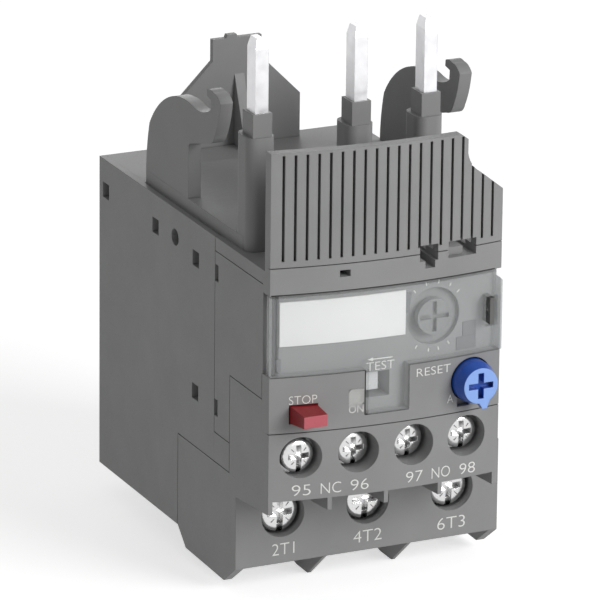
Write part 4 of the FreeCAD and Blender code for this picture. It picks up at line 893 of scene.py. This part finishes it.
@dataclass
class ClampScrews:
    """Combination-slot clamp screws with a crowned head, cross recess and four ticks of painted
    shade.
    """

    shop: Workshop
    datum: Datum
    rows: tuple[ScrewRow, ...] = (ScrewRow("control_screws", 4, 1.9, 1.45, 3.2),
                                  ScrewRow("main_screws", 3, 2.2, 1.9, 2.6))
    sides: int = 44
    grid_share: float = 0.125
    arm_share: float = 0.64
    arm_half_share: float = 0.155
    crown: float = 0.28
    rim_share: float = 0.86
    rim_drop: float = 0.42
    slot_deep: float = 0.75
    recess_deep: float = 0.55
    recess_taper: float = 0.88
    grid_lines: int = 9
    grid_reach: float = 0.985
    near_mm: float = 0.001
    near_share: float = 0.25
    crease_deg: float = 38.0
    mark_share: float = 0.47
    mark_length_share: float = 0.34
    mark_width: float = 0.13
    mark_rise: float = 0.03

    def depth(self, share: float, radius: float) -> float:
        """Return how far the crowned top lies behind its middle.

        Args:
            share: Distance from the axis over the head's radius.
            radius: The head's radius in millimetres.

        Returns:
            The depth in millimetres.
        """
        bowl = self.crown * min(share / self.rim_share, 1.0) ** 2
        edge = max(share - self.rim_share, 0.0) / (1 - self.rim_share)
        return bowl + self.rim_drop * edge ** 1.6

    def top(self, radius: float) -> bmesh.types.BMesh:
        """Return the crowned top with its cross recess and slot, facing +Z.

        Args:
            radius: The head's radius in millimetres.

        Returns:
            The open mesh, in millimetres round its axis.
        """
        shape = bmesh.new()
        bmesh.ops.create_circle(shape, cap_ends=True, segments=self.sides, radius=radius)
        arm, half = self.arm_share * radius, self.arm_half_share * radius
        step = self.grid_share * radius
        places = sorted({round(side * place, 4) for side in (-1, 1)
                         for place in (half, arm, *(n * step for n in range(self.grid_lines)))})
        gaps = {place: min(abs(abs(place) - half), abs(abs(place) - arm)) for place in places}
        places = [place for place in places
                  if gaps[place] < self.near_mm or gaps[place] > self.near_share * step]
        for axis in ((1.0, 0.0, 0.0), (0.0, 1.0, 0.0)):
            for place in places:
                if abs(place) < radius * self.grid_reach:
                    bmesh.ops.bisect_plane(shape, geom=[*shape.verts, *shape.edges, *shape.faces],
                                           plane_co=Vector(axis) * place, plane_no=axis)
        for vertex in shape.verts:
            vertex.co.z = -self.depth(vertex.co.xy.length / radius, radius)
        cross = [face for face in shape.faces if self.in_cross(face, half, arm)]
        slot = [face for face in shape.faces if face not in cross
                and abs(face.calc_center_median().x) < half and face.calc_center_median().y < 0]
        floor = self.sink(shape, cross + slot, self.slot_deep)
        self.sink(shape, [face for face in floor if self.in_cross(face, half, arm)],
                  self.recess_deep, self.recess_taper)
        return shape

    @staticmethod
    def in_cross(face: bmesh.types.BMFace, half: float, arm: float) -> bool:
        """Return whether a face lies in the cross recess.

        Args:
            face: Face of the top.
            half: Half of an arm's width.
            arm: Length of an arm from the axis.

        Returns:
            True inside the cross.
        """
        x, y = (abs(value) for value in face.calc_center_median().xy)
        return min(x, y) < half and max(x, y) < arm

    @staticmethod
    def sink(shape: bmesh.types.BMesh, faces: list[bmesh.types.BMFace], deep: float,
             taper: float = 1.0) -> list[bmesh.types.BMFace]:
        """Push a patch of faces down and wall it.

        Args:
            shape: Mesh that holds the faces.
            faces: The patch.
            deep: How far down, in millimetres.
            taper: Share of its size that the floor keeps.

        Returns:
            The faces of the new floor.
        """
        made = bmesh.ops.extrude_face_region(shape, geom=faces)["geom"]
        floor = [item for item in made if isinstance(item, bmesh.types.BMFace)]
        for vertex in {vertex for face in floor for vertex in face.verts}:
            vertex.co.z -= deep
            vertex.co.xy *= taper
        bmesh.ops.delete(shape, geom=[face for face in faces if face.is_valid], context="FACES")
        return floor

    def body(self, shape: bmesh.types.BMesh, row: ScrewRow, radius: float) -> None:
        """Close the head downwards with its skirt, shank and tip.

        Args:
            shape: Mesh of the top, whose outer rim is still open.
            row: Sizes of the row.
            radius: The head's radius in millimetres.
        """
        rim = [edge for edge in shape.edges if edge.is_boundary
               and min(vertex.co.xy.length for vertex in edge.verts) > 0.97 * radius]
        foot = -row.head_tall - self.crown
        tip = foot - row.shank_length
        for size, level in ((radius, foot), (row.shank, foot), (row.shank, tip)):
            made = bmesh.ops.extrude_edge_only(shape, edges=rim)["geom"]
            rim = [item for item in made if isinstance(item, bmesh.types.BMEdge)]
            for vertex in {vertex for edge in rim for vertex in edge.verts}:
                vertex.co.xy = vertex.co.xy.normalized() * size
                vertex.co.z = level
        bmesh.ops.edgeloop_fill(shape, edges=rim)

    def place(self, shape: bmesh.types.BMesh, name: str,
              centres: Sequence[Vector]) -> bpy.types.Mesh:
        """Copy a screw to its places, from millimetres facing +Z to the frame facing -Y.

        Args:
            shape: Mesh of one screw; it is freed.
            name: Name of the new mesh.
            centres: Middle of each head's front.

        Returns:
            The mesh of the whole row.
        """
        bmesh.ops.remove_doubles(shape, verts=shape.verts, dist=0.002)
        bmesh.ops.recalc_face_normals(shape, faces=shape.faces)
        whole = bmesh.new()
        one = bpy.data.meshes.new("one_screw")
        shape.to_mesh(one)
        shape.free()
        turn = Matrix.Rotation(math.radians(90.0), 4, "X")
        for centre in centres:
            start = len(whole.verts)
            whole.from_mesh(one)
            whole.verts.ensure_lookup_table()
            moved = whole.verts[start:]
            matrix = Matrix.Translation(centre) @ turn @ Matrix.Diagonal((MM, MM, MM, 1.0))
            bmesh.ops.transform(whole, matrix=matrix, verts=moved)
        mesh = bpy.data.meshes.new(name)
        whole.to_mesh(mesh)
        whole.free()
        bpy.data.meshes.remove(one)
        mesh.shade_smooth()
        mesh.set_sharp_from_angle(angle=math.radians(self.crease_deg))
        return mesh

    def tick_shades(self, radius: float) -> bmesh.types.BMesh:
        """Return the four thin diagonal marks between the arms of the cross, dark bars of painted
        shade.

        Args:
            radius: The head's radius in millimetres.

        Returns:
            Their mesh, in millimetres round the axis.
        """
        marks = bmesh.new()
        for corner in range(4):
            turn = Matrix.Rotation(math.radians(45.0 + 90.0 * corner), 4, "Z")
            spot = Matrix.Translation((self.mark_share * radius, 0.0,
                                       -self.depth(self.mark_share, radius)))
            size = Matrix.Diagonal((self.mark_length_share * radius, self.mark_width,
                                    self.mark_rise, 1.0))
            bmesh.ops.create_cube(marks, size=1.0, matrix=turn @ spot @ size)
        return marks

    def build(self) -> None:
        """Make the rows of screws and the painted shade of their ticks."""
        for row in self.rows:
            low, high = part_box(row.node)
            radius = (high.z - low.z) / 2 / MM
            first, last = low.x + radius * MM, high.x - radius * MM
            pitch = (last - first) / (row.count - 1)
            centres = [Vector((first + n * pitch, low.y, (low.z + high.z) / 2))
                       for n in range(row.count)]
            shape = self.top(radius)
            self.body(shape, row, radius)
            mesh = self.place(shape, row.node + "_detailed", centres)
            self.shop.piece(mesh, row.node + "_detailed", PLATED_STEEL, "housing",
                            "zinc_steel", (row.node,))
            mesh = self.place(self.tick_shades(radius), row.node + "_tick_shades", centres)
            self.shop.piece(mesh, row.node + "_tick_shades", TICK_SHADE_STEEL, "housing",
                            "zinc_steel")


@dataclass(frozen=True)
class PressSpring:
    """Coil spring behind a push piece, which rides on the push piece's body."""

    node: str
    body: str
    joint: str
    stroke_mm: float

    def build(self, shop: Workshop) -> None:
        """Build the coil as a copy of its CAD node that rides on its push piece.

        Args:
            shop: Workshop that finishes the piece.
        """
        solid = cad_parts[self.node]
        mesh = solid.data.copy()
        mesh.transform(solid.matrix_world)
        coil = shop.piece(mesh, f"{self.node}_coil", SPRING_WIRE, self.body, "spring_steel",
                          (self.node,))
        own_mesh(coil)


PRESS_SPRINGS = (
    PressSpring("stop_spring", "stop", "stop_press", 2.5),
    PressSpring("reset_spring", "reset", "reset_press", 2.0),
)


@dataclass
class Studio:
    """Camera, lamps, world and floor."""

    shop: Workshop
    datum: Datum
    azimuth: float = -25.2
    elevation: float = 18.762
    roll: float = -0.628
    distance_mm: float = 1010.335
    pan_mm: tuple[float, float] = (-15.824, 42.04)
    focal_mm: float = 394.0194
    sensor_mm: float = 36.0
    clip_m: tuple[float, float] = (0.05, 20.0)
    floor_half_m: float = 3.0
    middle_m: tuple[float, float, float] = (0.0, 0.0, 0.045)
    ambient: float = 0.345
    key_power: float = 9.0
    key_place: tuple[float, float, float] = (0.5, -0.9, 0.52)
    key_size: float = 0.6
    back_power: float = 3.2
    back_place: tuple[float, float, float] = (0.25, 1.2, 0.22)

    def axes(self) -> tuple[Vector, Vector, Vector]:
        """Return the camera's right, up and backward directions before its roll."""
        turn, rise = math.radians(self.azimuth), math.radians(self.elevation)
        back = Vector((math.sin(turn) * math.cos(rise), -math.cos(turn) * math.cos(rise),
                       math.sin(rise)))
        right = Vector((math.cos(turn), math.sin(turn), 0.0))
        return right, back.cross(right), back

    def camera(self) -> None:
        """Place the camera at the viewing angle."""
        right, up, back = self.axes()
        place = right * self.pan_mm[0] + up * self.pan_mm[1] + back * self.distance_mm
        roll = math.radians(self.roll)
        across = right * math.cos(roll) - up * math.sin(roll)
        over = right * math.sin(roll) + up * math.cos(roll)
        lens = bpy.data.cameras.new("camera")
        lens.sensor_width = self.sensor_mm
        lens.lens = self.focal_mm
        lens.clip_start, lens.clip_end = self.clip_m
        item = bpy.data.objects.new("camera", lens)
        turned = Matrix((across, over, back)).transposed().to_4x4()
        item.matrix_world = Matrix.Translation(self.datum.point(*place)) @ turned
        bpy.context.scene.collection.objects.link(item)
        bpy.context.scene.camera = item

    def lamp(self, name: str, place: Vector, size: float, power: float) -> None:
        """Hang one square soft lamp that faces the object's middle.

        Args:
            name: Name of the lamp.
            place: Position in metres.
            size: Side of the lamp in metres.
            power: Power in watts.
        """
        light = bpy.data.lights.new(name, "AREA")
        light.size = size
        light.energy = power
        item = bpy.data.objects.new(name, light)
        aim = Vector(self.middle_m) - place
        item.matrix_world = (Matrix.Translation(place)
                             @ aim.to_track_quat("-Z", "Y").to_matrix().to_4x4())
        bpy.context.scene.collection.objects.link(item)

    def world(self) -> None:
        """Make a plain world that shows white and lights softly."""
        world = bpy.data.worlds.new("studio")
        bpy.context.scene.world = world
        world.use_nodes = True
        tree = world.node_tree
        tree.nodes.clear()
        soft = add_node(tree, "Background", {"Strength": self.ambient})
        seen = add_node(tree, "Background", {"Strength": 1.0})
        mix = mix_shaders(tree, background_rays(tree), soft, seen)
        add_node(tree, "OutputWorld", {}, {"Surface": (mix, "Shader")})

    def floor(self) -> None:
        """Lay the white paper that the object stands on."""
        shape = bmesh.new()
        bmesh.ops.create_grid(shape, x_segments=1, y_segments=1, size=self.floor_half_m)
        mesh = bpy.data.meshes.new("floor")
        shape.to_mesh(mesh)
        shape.free()
        mesh.materials.append(self.shop.finish(FLOOR_PAPER))
        item = bpy.data.objects.new("floor", mesh)
        bpy.context.scene.collection.objects.link(item)

    def build(self) -> None:
        """Set up the whole studio."""
        bpy.context.scene.view_settings.view_transform = "Standard"
        self.camera()
        self.world()
        self.floor()
        self.lamp("key", Vector(self.key_place), self.key_size, self.key_power)
        self.lamp("back", Vector(self.back_place), self.key_size, self.back_power)


def main() -> None:
    """Dress the CAD nodes and build every piece of the scene."""
    logging.basicConfig(level=logging.INFO, format="%(name)s: %(message)s")
    shop, datum = Workshop(), Datum.from_frame()
    shop.dress_nodes()
    Print(shop, datum).build()
    Relief(shop, datum).build()
    ClampScrews(shop, datum).build()
    for spring in PRESS_SPRINGS:
        spring.build(shop)
    Studio(shop, datum).build()


if __name__ == "__main__":
    main()
